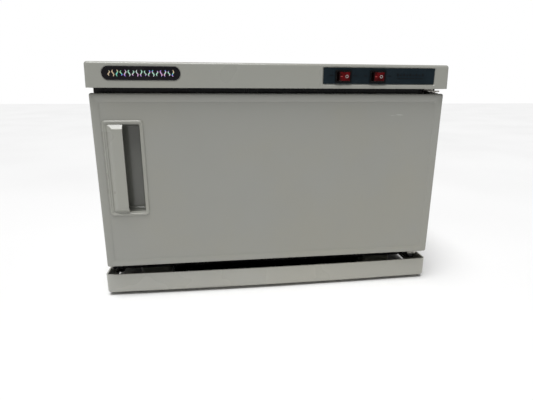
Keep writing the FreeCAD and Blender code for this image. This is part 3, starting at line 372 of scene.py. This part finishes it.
seal_rubber = soft_rubber("gasket_rubber", (0.055, 0.055, 0.058))
magnet_ferrite = soft_rubber("magnet_ferrite", (0.03, 0.03, 0.033), 0.5)
glass_wool = mineral_felt("glass_wool", (0.72, 0.62, 0.30))
foam_core = mineral_felt("foam_core", (0.82, 0.78, 0.66))
badge_black = black_enamel("badge_acrylic")
film = printed_film("panel_film")
foil = iridescent_foil("badge_foil")
lamp_glass = quartz("lamp_quartz")
white_ink = print_ink("mark_white", (0.50, 0.47, 0.45))
red_ink = print_ink("mark_red", (0.55, 0.10, 0.09))
dark_ink = print_ink("panel_bar_ink", (0.002, 0.004, 0.006))


# ---------------------------------------------------------------- mesh helpers
def solid_box(low, high):
    """A box between two corners."""
    bm = bmesh.new()
    bmesh.ops.create_cube(bm, size=1)
    size, centre = Vector(high) - Vector(low), (Vector(high) + Vector(low)) / 2
    bmesh.ops.scale(bm, vec=size, verts=bm.verts)
    bmesh.ops.translate(bm, vec=centre, verts=bm.verts)
    return bm


def bevel(bm, geometry, width, segments, affect="EDGES"):
    """Round edges, or the corners of a flat face."""
    bmesh.ops.bevel(bm, geom=list(geometry), offset=width, segments=segments, profile=0.5,
                    affect=affect, material=-1)


def rounded_plate(bm, x, z, y, radius, segments=6):
    """A flat face with round corners, square to Y, facing the front."""
    corners = [bm.verts.new((x[0], y, z[0])), bm.verts.new((x[1], y, z[0])),
               bm.verts.new((x[1], y, z[1])), bm.verts.new((x[0], y, z[1]))]
    bm.faces.new(corners)
    bevel(bm, corners, radius, segments, "VERTICES")
    found = [f for f in bm.faces if all(abs(v.co.y - y) < 1e-7 for v in f.verts)]
    face = max(found, key=lambda f: f.calc_area())
    bm.normal_update()
    if face.normal.y > 0:
        face.normal_flip()
    return face


def pull(bm, face, offset):
    """Extrude one face by an offset, and return the moved face."""
    made = bmesh.ops.extrude_face_region(bm, geom=[face])["geom"]
    moved = [item for item in made if isinstance(item, bmesh.types.BMVert)]
    bmesh.ops.translate(bm, vec=offset, verts=moved)
    faces = [item for item in made if isinstance(item, bmesh.types.BMFace)]
    if face.is_valid:
        bmesh.ops.delete(bm, geom=[face], context="FACES_ONLY")
    return faces[0]


def narrow(bm, face, width, offset=(0, 0, 0), axes=(0, 2)):
    """Extrude a face by an offset while its outline moves inwards by a width on every side."""
    face = pull(bm, face, offset)
    for axis in axes:
        places = [v.co[axis] for v in face.verts]
        start, size = min(places), max(places) - min(places)
        for vert in face.verts:
            vert.co[axis] = start + width + (vert.co[axis] - start) * (size - 2 * width) / size
    return face


def loft(bm, rings, close=True):
    """Skin a row of round-cornered outlines, each (x span, z span, y, corner radius)."""
    face = rounded_plate(bm, *rings[0])
    for old, new in zip(rings, rings[1:]):
        face = pull(bm, face, (0, 0, 0))
        for vert in face.verts:
            for axis, span in ((0, 0), (2, 1)):
                middle, half = sum(old[span]) / 2, (old[span][1] - old[span][0]) / 2
                new_middle, new_half = sum(new[span]) / 2, (new[span][1] - new[span][0]) / 2
                way = 1 if vert.co[axis] > middle else -1
                from_corner = vert.co[axis] - middle - way * (half - old[3])
                vert.co[axis] = new_middle + way * (new_half - new[3]) + (
                    from_corner * new[3] / old[3])
            vert.co.y = new[2]
    if not close:
        bmesh.ops.delete(bm, geom=[face], context="FACES_ONLY")
    bmesh.ops.recalc_face_normals(bm, faces=bm.faces)
    if sum(f.normal.y * f.calc_area() for f in bm.faces) > 0:
        bmesh.ops.reverse_faces(bm, faces=bm.faces)


def inset_rings(x, z, y, radius, profile):
    """Outlines that step inwards and back by each (inset, depth, corner radius) of a profile."""
    rings = [(x, z, y, radius)]
    for inset, depth, corner in profile:
        x, z, y = (x[0] + inset, x[1] - inset), (z[0] + inset, z[1] - inset), y + depth
        rings.append((x, z, y, corner))
    return rings


def quarter_round(radius, steps=5):
    """Profile of a round edge, seen from its outer side."""
    angles = [math.pi / 2 * i / steps for i in range(steps + 1)]
    return [(radius * (math.cos(a) - math.cos(b)), radius * (math.sin(a) - math.sin(b)))
            for a, b in zip(angles, angles[1:])]


def prism(x, y, z, radius, segments=6):
    """A block with its four edges along Y rounded, open to no side."""
    bm = bmesh.new()
    face = rounded_plate(bm, x, z, y[0], radius, segments)
    back = face.copy()
    bmesh.ops.reverse_faces(bm, faces=[back])
    pull(bm, back, (0, y[1] - y[0], 0))
    bmesh.ops.remove_doubles(bm, verts=bm.verts, dist=1e-7)
    bmesh.ops.recalc_face_normals(bm, faces=bm.faces)
    return bm


def face_front(bm):
    """Turn every flat face towards the front."""
    bm.normal_update()
    bmesh.ops.reverse_faces(bm, faces=[face for face in bm.faces if face.normal.y > 0])


def close_up(bm):
    """Close every open loop."""
    bmesh.ops.holes_fill(bm, edges=[e for e in bm.edges if e.is_boundary])


def add(bm, other):
    """Put a second mesh into the first."""
    spare = bpy.data.meshes.new("spare")
    other.to_mesh(spare)
    other.free()
    bm.from_mesh(spare)
    bpy.data.meshes.remove(spare)


def object_from(name, bm):
    """A piece of the scene, at the origin, from a finished mesh."""
    mesh = bpy.data.meshes.new(name)
    bm.to_mesh(mesh)
    bm.free()
    thing = bpy.data.objects.new(name, mesh)
    bpy.context.scene.collection.objects.link(thing)
    return thing


def carve(thing, *cutters):
    """Cut shapes out of a piece, and keep the result as its mesh."""
    for cutter in cutters:
        modifier = thing.modifiers.new("cut", "BOOLEAN")
        modifier.operation = "DIFFERENCE"
        modifier.solver = "EXACT"
        modifier.object = cutter
    bpy.context.view_layer.update()
    seen = thing.evaluated_get(bpy.context.evaluated_depsgraph_get())
    mesh = bpy.data.meshes.new_from_object(seen)
    thing.modifiers.clear()
    thing.data = mesh
    for cutter in cutters:
        bpy.data.objects.remove(cutter)


def dress(thing, body, slot, material, replaces=(), edge=0.0, segments=2, wall=0.0, angle=32):
    """Finish a piece: wall thickness, softened edges, even shading, finish, and its body."""
    if wall:
        thicken = thing.modifiers.new("wall", "SOLIDIFY")
        thicken.thickness = wall
        thicken.offset = -1
        thicken.use_even_offset = True
    if edge:
        soften = thing.modifiers.new("edge", "BEVEL")
        soften.width = edge
        soften.segments = segments
        soften.limit_method = "ANGLE"
        soften.angle_limit = math.radians(angle)
        soften.use_clamp_overlap = True
    thing.data.shade_smooth()
    thing.data.set_sharp_from_angle(angle=math.radians(48))
    even = thing.modifiers.new("even", "WEIGHTED_NORMAL")
    even.keep_sharp = True
    thing.data.materials.clear()
    thing.data.materials.append(material)
    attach(thing, body)
    if replaces:
        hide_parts(*replaces)


BODY_OF = {node: body for body, members in frame["record"]["behaviour"]["bodies"].items()
           for node in members}
SLOT_OF = {row["node"]: row["material_slot"] for row in frame["record"]["subparts"]}


def merged(node, angle=1.0):
    """A copy of the node's own mesh, with facets that meet within an angle joined."""
    bm = bmesh.new()
    bm.from_mesh(frame["nodes"][node].data)
    bmesh.ops.remove_doubles(bm, verts=bm.verts, dist=2e-6)
    bmesh.ops.dissolve_limit(bm, angle_limit=math.radians(angle), verts=bm.verts, edges=bm.edges)
    return bm


def finished_copy(node, material, edge, merge_angle=1.0, **finish):
    """The node's own shape with its facets merged and its edges softened."""
    thing = object_from(node + "_finished", merged(node, merge_angle))
    dress(thing, BODY_OF[node], SLOT_OF[node], material, [node], edge=edge, **finish)


def repaint(node, material):
    """Keep the node's own shape, and give it its finish."""
    mesh = frame["nodes"][node].data
    mesh.materials.clear()
    mesh.materials.append(material)


# ---------------------------------------------------------------- plain and hidden parts
for node, material in (
        ("insulation_blanket", glass_wool), ("insulation_rear", glass_wool),
        ("heater_plate", liner_metal), ("door_foam", foam_core),
        ("door_magnets", magnet_ferrite)):
    repaint(node, material)

# Each softened edge is in millimetres.
for node, material, edge in (
        ("outer_shell", sheet_paint, 0.4), ("rear_panel", sheet_paint, 0.3),
        # The bottom cover's black enamel is painted shade for the dark space under the body
        # between the feet.
        ("base_pan", enamel, 0.3), ("bottom_cover", enamel, 0.4),
        ("front_frame", enamel, 0.6), ("chamber_liner", liner_metal, 0),
        ("door_plate", liner_metal, 0.6), ("lamp_guard", guard_metal, 0.3),
        ("rack_support_left", guard_metal, 0.3), ("rack_support_right", guard_metal, 0.3),
        ("heating_element", element_metal, 0), ("thermostat", zinc, 0.3),
        ("thermal_fuse", white_resin, 0.3), ("terminal_block", white_resin, 0.4),
        ("lamp_tube", lamp_glass, 0), ("lamp_caps", lamp_end_metal, 0.5),
        ("lampholder_left", white_resin, 0.6), ("lampholder_right", white_resin, 0.6),
        ("lamp_ballast", gear_paint, 0), ("lamp_starter", white_resin, 0.4),
        ("towel_rack", chrome, 0), ("switch_tabs", tab_metal, 0.2),
        ("lid_bracket_left", zinc, 0.3), ("lid_bracket_right", zinc, 0.3),
        ("hinge_bracket_lower", zinc, 0.3), ("hinge_bracket_upper", zinc, 0.3),
        ("hinge_pin_lower", zinc, 0.3), ("hinge_pin_upper", zinc, 0.3),
        ("door_bush_lower", bush_resin, 0.2), ("door_bush_upper", bush_resin, 0.2),
        ("door_gasket", seal_rubber, 0.8), ("tray_rail_left", enamel, 0.3),
        ("tray_rail_right", enamel, 0.3), ("cable_gland", black_resin, 0.6),
        ("foot_pads", pad_rubber, 0.6), ("foot_front_left", plastic, 0.4),
        ("foot_front_right", plastic, 0.4), ("foot_rear_left", plastic, 0.4),
        ("foot_rear_right", plastic, 0.4)):
    finished_copy(node, material, edge * MM)


# ---------------------------------------------------------------- screws
def islands(bm):
    """The loose parts of a mesh, as lists of vertices."""
    seen = set()
    for start in bm.verts:
        if start in seen:
            continue
        part, fringe = set(), [start]
        while fringe:
            vert = fringe.pop()
            if vert not in part:
                part.add(vert)
                fringe += [edge.other_vert(vert) for edge in vert.link_edges]
        seen |= part
        yield [vert for vert in bm.verts if vert in part]


def screw_head(part):
    """Middle of a screw's head, the way it faces, and its radius."""
    low = Vector([min(vert.co[i] for vert in part) for i in range(3)])
    high = Vector([max(vert.co[i] for vert in part) for i in range(3)])
    size, middle = high - low, (low + high) / 2
    axis = max(range(3), key=lambda i: abs(size[i] - size[(i + 1) % 3])
               + abs(size[i] - size[(i + 2) % 3]))
    along = Vector([i == axis for i in range(3)])

    def spread(level):
        """Largest distance from the screw's axis at one of its ends."""
        return max((vert.co - middle - (vert.co - middle)[axis] * along).length
                   for vert in part if abs(vert.co[axis] - level) < 1e-6)

    way = 1 if spread(high[axis]) > spread(low[axis]) else -1
    middle[axis] = high[axis] if way > 0 else low[axis]
    return middle, way * along, size[(axis + 1) % 3] / 2


def cross_cutter(bm, top, out, radius):
    """A plus-shaped plug that stands in a screw's head, for its cross recess."""
    depth, clear = 1.1 * MM, 1 * MM
    arm, slot = 0.58 * radius, 0.5
    made = bmesh.ops.create_grid(bm, x_segments=3, y_segments=3, size=arm)["verts"]
    corners = [face for face in bm.faces if all(vert in made for vert in face.verts)
               and min(abs(face.calc_center_median().x), abs(face.calc_center_median().y))
               > 0.4 * arm]
    bmesh.ops.delete(bm, geom=corners, context="FACES")
    verts = [vert for vert in made if vert.is_valid]
    for vert in verts:
        for axis in (0, 1):
            if abs(vert.co[axis]) < 0.5 * arm:
                vert.co[axis] *= slot
    faces = [face for face in bm.faces if all(vert in verts for vert in face.verts)]
    risen = bmesh.ops.extrude_face_region(bm, geom=faces)["geom"]
    upper = [item for item in risen if isinstance(item, bmesh.types.BMVert)]
    bmesh.ops.translate(bm, vec=(0, 0, depth + clear), verts=upper)
    turn = out.to_track_quat("Z", "Y").to_matrix().to_4x4()
    bmesh.ops.transform(bm, matrix=Matrix.Translation(top - out * depth) @ turn,
                        verts=verts + upper)


def screws_copy(node, rim):
    """Screws with a rounded rim and a cross recess in each head."""
    bm = merged(node)
    crosses = bmesh.new()
    rims = []
    for part in islands(bm):
        top, out, radius = screw_head(part)
        cross_cutter(crosses, top, out, radius)
        end = {vert for vert in part if abs((vert.co - top).dot(out)) < 1e-6}
        rims += [edge for edge in bm.edges if end.issuperset(edge.verts)]
    bevel(bm, rims, rim, 3)
    bmesh.ops.recalc_face_normals(crosses, faces=crosses.faces)
    thing = object_from(node + "_finished", bm)
    carve(thing, object_from("crosses", crosses))
    dress(thing, BODY_OF[node], SLOT_OF[node], zinc, [node], edge=0.08 * MM)


for node, rim in (("lid_screws", 0.6 * MM), ("rear_screws", 0.6 * MM), ("foot_screws", 0.6 * MM),
                  ("hinge_screws", 0.4 * MM), ("door_screws", 0.4 * MM)):
    screws_copy(node, rim)


# ---------------------------------------------------------------- top cover
def build_lid():
    """Drafted cover with rounded top edges, a faint raised rim round its roof, and two seats."""
    low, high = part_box("lid")
    draft, wall, roof_wall = 0.9 * MM, 2.4 * MM, 3.4 * MM
    corner, shoulder = 4 * MM, 3.2 * MM
    rim_width, step_width, step_depth = 7 * MM, 1.6 * MM, 0.8 * MM
    bm = solid_box(low, high)
    for vert in bm.verts:
        if vert.co.z > high.z - MM:
            vert.co.x -= math.copysign(draft, vert.co.x)
    height = high.z - low.z
    upright = [e for e in bm.edges if abs(e.verts[0].co.z - e.verts[1].co.z) > height / 2]
    bevel(bm, upright, corner, 5)
    roof = next(f for f in bm.faces if f.normal.z > 0.9)
    bevel(bm, roof.edges, shoulder, 5)
    bm.normal_update()
    roof = max((f for f in bm.faces if f.normal.z > 0.999), key=lambda f: f.calc_area())
    roof = narrow(bm, roof, rim_width, axes=(0, 1))
    narrow(bm, roof, step_width, (0, 0, -step_depth), axes=(0, 1))
    sole = next(f for f in bm.faces if f.normal.z < -0.9)
    sole = narrow(bm, sole, wall, axes=(0, 1))
    narrow(bm, sole, draft, (0, 0, height - roof_wall), axes=(0, 1))
    bmesh.ops.recalc_face_normals(bm, faces=bm.faces)
    lid = object_from("top_cover", bm)
    carve(lid,
          seat_cutter("badge_plate", low.y, 0.8 * MM, 1.2 * MM, 7.4 * MM),
          seat_cutter("control_panel", low.y, 1.5 * MM, 1.4 * MM, 0.6 * MM))
    dress(lid, "cabinet", "cover_plastic", plastic, ["lid"], edge=0.35 * MM, angle=40)


def seat_cutter(node, face_y, depth, lip, radius):
    """The shape of a node's shallow seat in a front face, with a sloped lip round its mouth."""
    low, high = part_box(node)
    gap = 0.3 * MM
    reach = gap + lip
    bm = bmesh.new()
    loft(bm, inset_rings((low.x - reach, high.x + reach), (low.z - reach, high.z + reach),
                         face_y - MM, radius + reach,
                         [(0, MM, radius + reach), (lip, 0.85 * depth, radius + gap),
                          (0, 0.15 * depth, radius + gap)]))
    close_up(bm)
    bmesh.ops.recalc_face_normals(bm, faces=bm.faces)
    return object_from(node + "_seat", bm)


build_lid()


# ---------------------------------------------------------------- badge and switch panel
def build_badge():
    """Domed black acrylic pill with a row of foil steam curls in place of lettering."""
    low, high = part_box("badge_plate")
    slack, dome, dome_inset = 0.05 * MM, 0.3 * MM, 0.5 * MM
    radius = (high.z - low.z) / 2 - slack
    bm = bmesh.new()
    face = rounded_plate(bm, (low.x, high.x), (low.z, high.z), high.y, radius, 12)
    face = pull(bm, face, (0, low.y - high.y + dome, 0))
    narrow(bm, face, dome_inset, (0, -dome, 0))
    close_up(bm)
    bmesh.ops.recalc_face_normals(bm, faces=bm.faces)
    dress(object_from("badge", bm), "cabinet", "badge_black", badge_black, ["badge_plate"])

    count, tall, short = 17, 7.2 * MM, 5.76 * MM
    margin, lift = 8.6 * MM, 0.05 * MM
    pitch = (high.x - low.x - 2 * margin) / (count - 1)
    curls = bmesh.new()
    for i in range(count):
        ribbon(curls, low.x + margin + i * pitch, (low.z + high.z) / 2, low.y - lift,
               tall if i % 3 else short, 1 if i % 2 else -1)
    face_front(curls)
    dress(object_from("badge_steam_marks", curls), "cabinet", "badge_black", foil)


def ribbon(bm, x, z, y, height, way):
    """One S-shaped steam curl, a flat strip that is widest at its middle."""
    steps, swing, thin, swell = 10, 0.9 * MM, 0.4 * MM, 0.35 * MM

    def rung(i):
        t = i / steps
        sway = way * swing * math.sin(2 * math.pi * t)
        half = thin + swell * math.sin(math.pi * t)
        return [(x + sway + side * half, y, z + height * (t - 0.5)) for side in (-1, 1)]

    edge = bm.edges.new([bm.verts.new(place) for place in rung(0)])
    for i in range(1, steps + 1):
        made = bmesh.ops.extrude_edge_only(bm, edges=[edge])["geom"]
        fresh = [item for item in made if isinstance(item, bmesh.types.BMVert)]
        edge = bm.edges.get(fresh)
        for vert, place in zip(sorted(fresh, key=lambda v: v.co.x), rung(i)):
            vert.co = place


def build_panel():
    """Film-covered strip, with plain bars beside the switches and a row of bars on the right."""
    low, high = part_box("control_panel")
    switches = [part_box(name + "_housing") for name in ("heat", "lamp")]
    corner, trim = 0.6 * MM, 1.1 * MM
    panel = object_from("switch_panel", prism((low.x, high.x), (low.y, high.y), (low.z, high.z),
                                              corner))
    carve(panel, *[object_from("switch_hole", solid_box(
        (left.x + trim, low.y - MM, left.z + trim),
        (right.x - trim, high.y + MM, right.z - trim))) for left, right in switches])
    dress(panel, "cabinet", "panel_dark", film, ["control_panel"], edge=0.15 * MM)

    bars = bmesh.new()
    middle, front = (low.z + high.z) / 2, low.y - 0.04 * MM
    dash, gap, dash_low, dash_high = 5 * MM, 2.5 * MM, middle - 0.3 * MM, middle + 0.9 * MM
    for left, right in switches:
        for x in (left.x - gap - dash, right.x + gap):
            flat_bar(bars, (x, x + dash), (dash_low, dash_high), front)
    start, pitch, width = switches[1][1].x + 15 * MM, 4.2 * MM, 2.6 * MM
    count, tall, short = 9, 3.4 * MM, 2.2 * MM
    for i in range(count):
        x = start + i * pitch
        flat_bar(bars, (x, x + width), (middle, middle + (short if i % 2 else tall)), front)
    length, drop, weight = 36 * MM, 3 * MM, 0.9 * MM
    flat_bar(bars, (start, start + length), (middle - drop, middle - drop + weight), front)
    face_front(bars)
    dress(object_from("panel_bars", bars), "cabinet", "panel_dark", dark_ink)


def flat_bar(bm, x, z, y):
    """A printed bar, square to Y."""
    bm.faces.new([bm.verts.new(spot) for spot in
                  ((x[0], y, z[0]), (x[1], y, z[0]), (x[1], y, z[1]), (x[0], y, z[1]))])


def build_switch(name):
    """Bezel with a rounded rim, a stem and a deep well, and the red rocker in it."""
    low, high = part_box(name + "_housing")
    rim, stem_x, stem_z = 1.6 * MM, 1.2 * MM, 1.3 * MM
    well_x, well_z, well_depth = 1.9 * MM, 5.6 * MM, 11 * MM
    middle = (low.z + high.z) / 2
    bm = prism((low.x, high.x), (low.y, low.y + rim), (low.z, high.z), 1 * MM, 4)
    add(bm, solid_box((low.x + stem_x, low.y + rim - 0.1 * MM, low.z + stem_z),
                      (high.x - stem_x, high.y, high.z - stem_z)))
    housing = object_from(name + "_switch_body", bm)
    carve(housing, object_from("well", solid_box(
        (low.x + well_x, low.y - MM, middle - well_z),
        (high.x - well_x, low.y + well_depth, middle + well_z))))
    dress(housing, "cabinet", "switch_black", black_resin, [name + "_housing"], edge=0.3 * MM)
    # The rocker's left end, up to 5.2 mm in from the housing's edge, is painted shade.
    lens = clear_red(name + "_rocker_red", low.x + 5.2 * MM)
    finished_copy(name + "_rocker", lens, 0.5 * MM, segments=3)
    rocker_marks(name)


def rocker_marks(name):
    """The line and the ring on the rocker's two slopes, which meet in a shallow V."""
    slope, tip = math.atan2(1.8, 7.4), math.radians(10)
    reach, face_depth, lift = 3.7 * MM, 4.13 * MM, 0.06 * MM
    line_length, line_width, ring_radius, ring_width = 3 * MM, 0.8 * MM, 1.9 * MM, 0.6 * MM
    pivot = next(Vector(joint["pos_m"]) for joint in frame["record"]["behaviour"]["joints"]
                 if joint["name"] == name + "_rocker_pivot")
    for side, mark, ink in ((-1, "line", red_ink), (1, "ring", white_ink)):
        bm = bmesh.new()
        if mark == "line":
            bmesh.ops.create_grid(bm, x_segments=1, y_segments=1, size=0.5)
            bmesh.ops.scale(bm, vec=(line_length, line_width, 1), verts=bm.verts)
        else:
            bmesh.ops.create_circle(bm, cap_ends=True, radius=ring_radius, segments=28)
            disc = bm.faces[:][0]
            bmesh.ops.inset_individual(bm, faces=[disc], thickness=ring_width)
            bmesh.ops.delete(bm, geom=[disc], context="FACES_ONLY")
        place = (Matrix.Translation(pivot) @ Matrix.Rotation(tip, 4, "Z")
                 @ Matrix.Translation((side * reach, -face_depth - lift, 0))
                 @ Matrix.Rotation(-side * slope, 4, "Z") @ Matrix.Rotation(math.pi / 2, 4, "X"))
        bmesh.ops.transform(bm, matrix=place, verts=bm.verts)
        dress(object_from(f"{name}_rocker_{mark}", bm), name + "_switch_rocker", "rocker_red", ink)


build_badge()
build_panel()
for switch in ("heat", "lamp"):
    build_switch(switch)


# ---------------------------------------------------------------- door
FIELD_SINK = 1.2 * MM       # the door's field lies this far behind its border


def build_door_shell():
    """Rounded cup with a raised border, a sloped step and a sunk field with the pull's opening."""
    low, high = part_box("door_shell")
    corner, edge, slope, wall = 3 * MM, 2.6 * MM, 2.1 * MM, 2.2 * MM
    side_border, bottom_border, top_border = 11 * MM, 9 * MM, 10.5 * MM
    foot_round = 0.3 * MM
    field_x = (low.x + side_border, high.x - side_border)
    field_z = (low.z + bottom_border, high.z - top_border)
    field_y = low.y + FIELD_SINK

    def wider(span, by):
        return span[0] - by, span[1] + by

    rings = inset_rings((low.x, high.x), (low.z, high.z), high.y, corner,
                        [(0, low.y + edge - high.y, corner)] + [
                            (inset, depth, corner - (i + 1) * 0.5 * MM)
                            for i, (inset, depth) in enumerate(quarter_round(edge))])
    rings += [(wider(field_x, slope), wider(field_z, slope), low.y, 3.4 * MM),
              (wider(field_x, foot_round), wider(field_z, foot_round), field_y - 0.1 * MM,
               2.4 * MM),
              (field_x, field_z, field_y, 2.2 * MM)]
    bm = bmesh.new()
    loft(bm, rings)
    cut_opening(bm, field_y)
    dress(object_from("door_skin", bm), "door", "cover_plastic", door_plastic, ["door_shell"],
          wall=wall)


def cut_opening(bm, field_y):
    """The hole behind the pull, cut out of the field with four planes."""
    low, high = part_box("door_handle")
    cover = 2.6 * MM
    x, z = (low.x + cover, high.x - cover), (low.z + cover, high.z - cover)

    def in_field(face):
        return abs(face.calc_center_median().y - field_y) < 1e-6 and face.normal.y < -0.999

    for normal, places in ((Vector((1, 0, 0)), x), (Vector((0, 0, 1)), z)):
        for place in places:
            flat = [face for face in bm.faces if in_field(face)]
            edges = [e for e in bm.edges if any(face in flat for face in e.link_faces)]
            verts = [v for v in bm.verts if any(face in flat for face in v.link_faces)]
            bmesh.ops.bisect_plane(bm, geom=verts + edges + flat, plane_co=normal * place,
                                   plane_no=normal, dist=1e-7)
    inside = [f for f in bm.faces if in_field(f) and x[0] < f.calc_center_median().x < x[1]
              and z[0] < f.calc_center_median().z < z[1]]
    bmesh.ops.delete(bm, geom=inside, context="FACES")


def build_handle():
    """The pull: a beaded frame, a finger pocket darkened with painted shade, and a bulging grip on
    its left half.
    """
    low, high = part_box("door_handle")
    field_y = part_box("door_shell")[0].y + FIELD_SINK
    # Steps of the frame's section, from the field over the bead into the mouth, in millimetres:
    # inwards, backwards, and the corner radius there.
    bead = [(0, -0.4, 4.5), (0.5, -0.6, 4.3), (0.6, -0.5, 4), (0.5, -0.3, 3.6), (0.5, 0.1, 3.3),
            (0.6, 0.5, 3), (0.4, 0.4, 2.7), (0.9, 0.05, 2.2), (0.35, -0.2, 1.9), (0.35, 0.1, 1.6),
            (0.2, 0.5, 1.3), (0, 2.4, 1.3)]
    rings = inset_rings((low.x, high.x), (low.z, high.z), field_y, 4.5 * MM,
                        [tuple(value * MM for value in step) for step in bead])
    bm = bmesh.new()
    loft(bm, rings, close=False)
    dress(object_from("pull_frame", bm), "door", "cover_plastic", plastic, ["door_handle"])

    mouth_x, mouth_z, mouth_y, corner = rings[-1]
    slack, lap, draft = 0.05 * MM, 0.4 * MM, 0.3 * MM
    floor_round, floor_wall = 3 * MM, 1.6 * MM
    deep = high.y - floor_wall - floor_round - 0.2 * MM - mouth_y
    bm = bmesh.new()
    loft(bm, inset_rings((mouth_x[0] - slack, mouth_x[1] + slack),
                         (mouth_z[0] - slack, mouth_z[1] + slack), mouth_y - lap, corner,
                         [(draft, deep, corner)] + [
                             (inset, -depth, 1.6 * MM)
                             for inset, depth in reversed(quarter_round(floor_round))]))
    # The pocket's dark plastic is painted shade.
    dress(object_from("pull_pocket", bm), "door", "cover_plastic", pocket_painted_shade)
    build_grip(low, high, field_y)


def build_grip(low, high, field_y):
    """Bulging plate with sloped top, bottom and left sides; its right edge stands free."""
    rim, overlap, width = 4.7 * MM, 0.5 * MM, 19.6 * MM
    left, free_edge = low.x + rim - overlap, low.x + rim + width
    bottom, top = low.z + rim - overlap, high.z - rim + overlap
    far = 2 * free_edge - left
    root_y, crown_y = field_y + 0.3 * MM, low.y + 0.1 * MM
    steeper = 0.8       # the bottom slope is this much as wide as the top one
    # Inwards from the side and from the ends, share of the rise, and corner radius.
    rings = [((left + side_in * MM, far - side_in * MM),
              (bottom + steeper * end_in * MM, top - end_in * MM),
              root_y - (root_y - crown_y) * height, corner * MM)
             for side_in, end_in, height, corner in (
                 (0, 0, 0, 1.6), (0.3, 0.3, 0.08, 1.6), (3.2, 3.2, 0.5, 2), (6.2, 6.1, 0.91, 2.4),
                 (7.2, 7, 0.965, 2.6), (8.6, 8.2, 0.985, 2.8), (12, 12, 1, 3))]
    bm = bmesh.new()
    loft(bm, rings)
    bmesh.ops.bisect_plane(bm, geom=bm.verts[:] + bm.edges[:] + bm.faces[:], dist=1e-7,
                           plane_co=(free_edge, 0, 0), plane_no=(1, 0, 0), clear_outer=True)
    dress(object_from("pull_grip", bm), "door", "cover_plastic", plastic, wall=2.4 * MM,
          edge=0.5 * MM, segments=3, angle=55)


build_door_shell()
build_handle()


# ---------------------------------------------------------------- drip tray
finished_copy("drip_tray", tray_plastic, 0.5 * MM, merge_angle=0.5, segments=3)


# ---------------------------------------------------------------- floor, light and camera
def build_floor():
    """A plain pale floor."""
    bm = bmesh.new()
    bmesh.ops.create_grid(bm, x_segments=1, y_segments=1, size=9)
    floor = object_from("floor", bm)
    finish = Finish("floor_paint", (0.88, 0.88, 0.88), 0.7)
    finish.roughness(finish.level(finish.noise(2, 2), 0.3, 0.7, 0.62, 0.78))
    floor.data.materials.append(finish.material)


def area_light(name, place, aim, size, power):
    """A rectangular white light, aimed at a point."""
    light = bpy.data.lights.new(name, "AREA")
    light.shape = "RECTANGLE"
    light.size, light.size_y = size
    light.energy = power
    lamp = bpy.data.objects.new(name, light)
    lamp.location = place
    lamp.rotation_euler = (Vector(aim) - Vector(place)).to_track_quat("-Z", "Y").to_euler()
    bpy.context.scene.collection.objects.link(lamp)


def sun_light():
    """Soft light from overhead, a little in front and to the left."""
    light = bpy.data.lights.new("overhead", "SUN")
    light.energy = 3.1
    light.angle = math.radians(35)
    lamp = bpy.data.objects.new("overhead", light)
    lamp.rotation_euler = (math.radians(13), math.radians(-8), 0)
    bpy.context.scene.collection.objects.link(lamp)


def build_sky():
    """Dim soft surround for the light, and a pale one behind the object."""
    dim, pale = 0.17, 1.0
    world = bpy.data.worlds.new("studio")
    bpy.context.scene.world = world
    world.use_nodes = True
    nodes, links = world.node_tree.nodes, world.node_tree.links
    background = nodes["Background"]
    background.inputs["Color"].default_value = (1, 1, 1, 1)
    seen = nodes.new("ShaderNodeLightPath")
    strength = nodes.new("ShaderNodeMapRange")
    strength.inputs["To Min"].default_value = dim
    strength.inputs["To Max"].default_value = pale
    links.new(seen.outputs["Is Camera Ray"], strength.inputs["Value"])
    links.new(strength.outputs["Result"], background.inputs["Strength"])


def build_camera():
    """Eye level with the top of the door, a little to the left, looking slightly down."""
    yaw, pitch, roll = (math.radians(angle) for angle in (7.60, 15.25, -0.16))
    ahead = Vector((math.sin(yaw) * math.cos(pitch), math.cos(yaw) * math.cos(pitch),
                    -math.sin(pitch)))
    right = Vector((math.cos(yaw), -math.sin(yaw), 0))
    down = ahead.cross(right)
    right, down = (math.cos(roll) * right + math.sin(roll) * down,
                   math.cos(roll) * down - math.sin(roll) * right)
    data = bpy.data.cameras.new("camera")
    data.sensor_width = 36
    data.lens = 26.82
    data.clip_start = 0.01
    camera = bpy.data.objects.new("camera", data)
    turn = Matrix((right, -down, -ahead)).transposed().to_4x4()
    door_low, door_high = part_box("door_shell")
    left, distance, rise = 79.8 * MM, 509.1 * MM, 1.9 * MM
    eye = Vector((-left, door_low.y - distance, door_high.z + rise))
    camera.matrix_world = Matrix.Translation(eye) @ turn
    bpy.context.scene.collection.objects.link(camera)
    bpy.context.scene.camera = camera


build_floor()
build_sky()
build_camera()
sun_light()
area_light("softbox", (-0.15, -0.9, 1.6), (0, -0.13, 0.16), (0.7, 0.28), 1.6)
bpy.context.scene.view_settings.view_transform = "Standard"
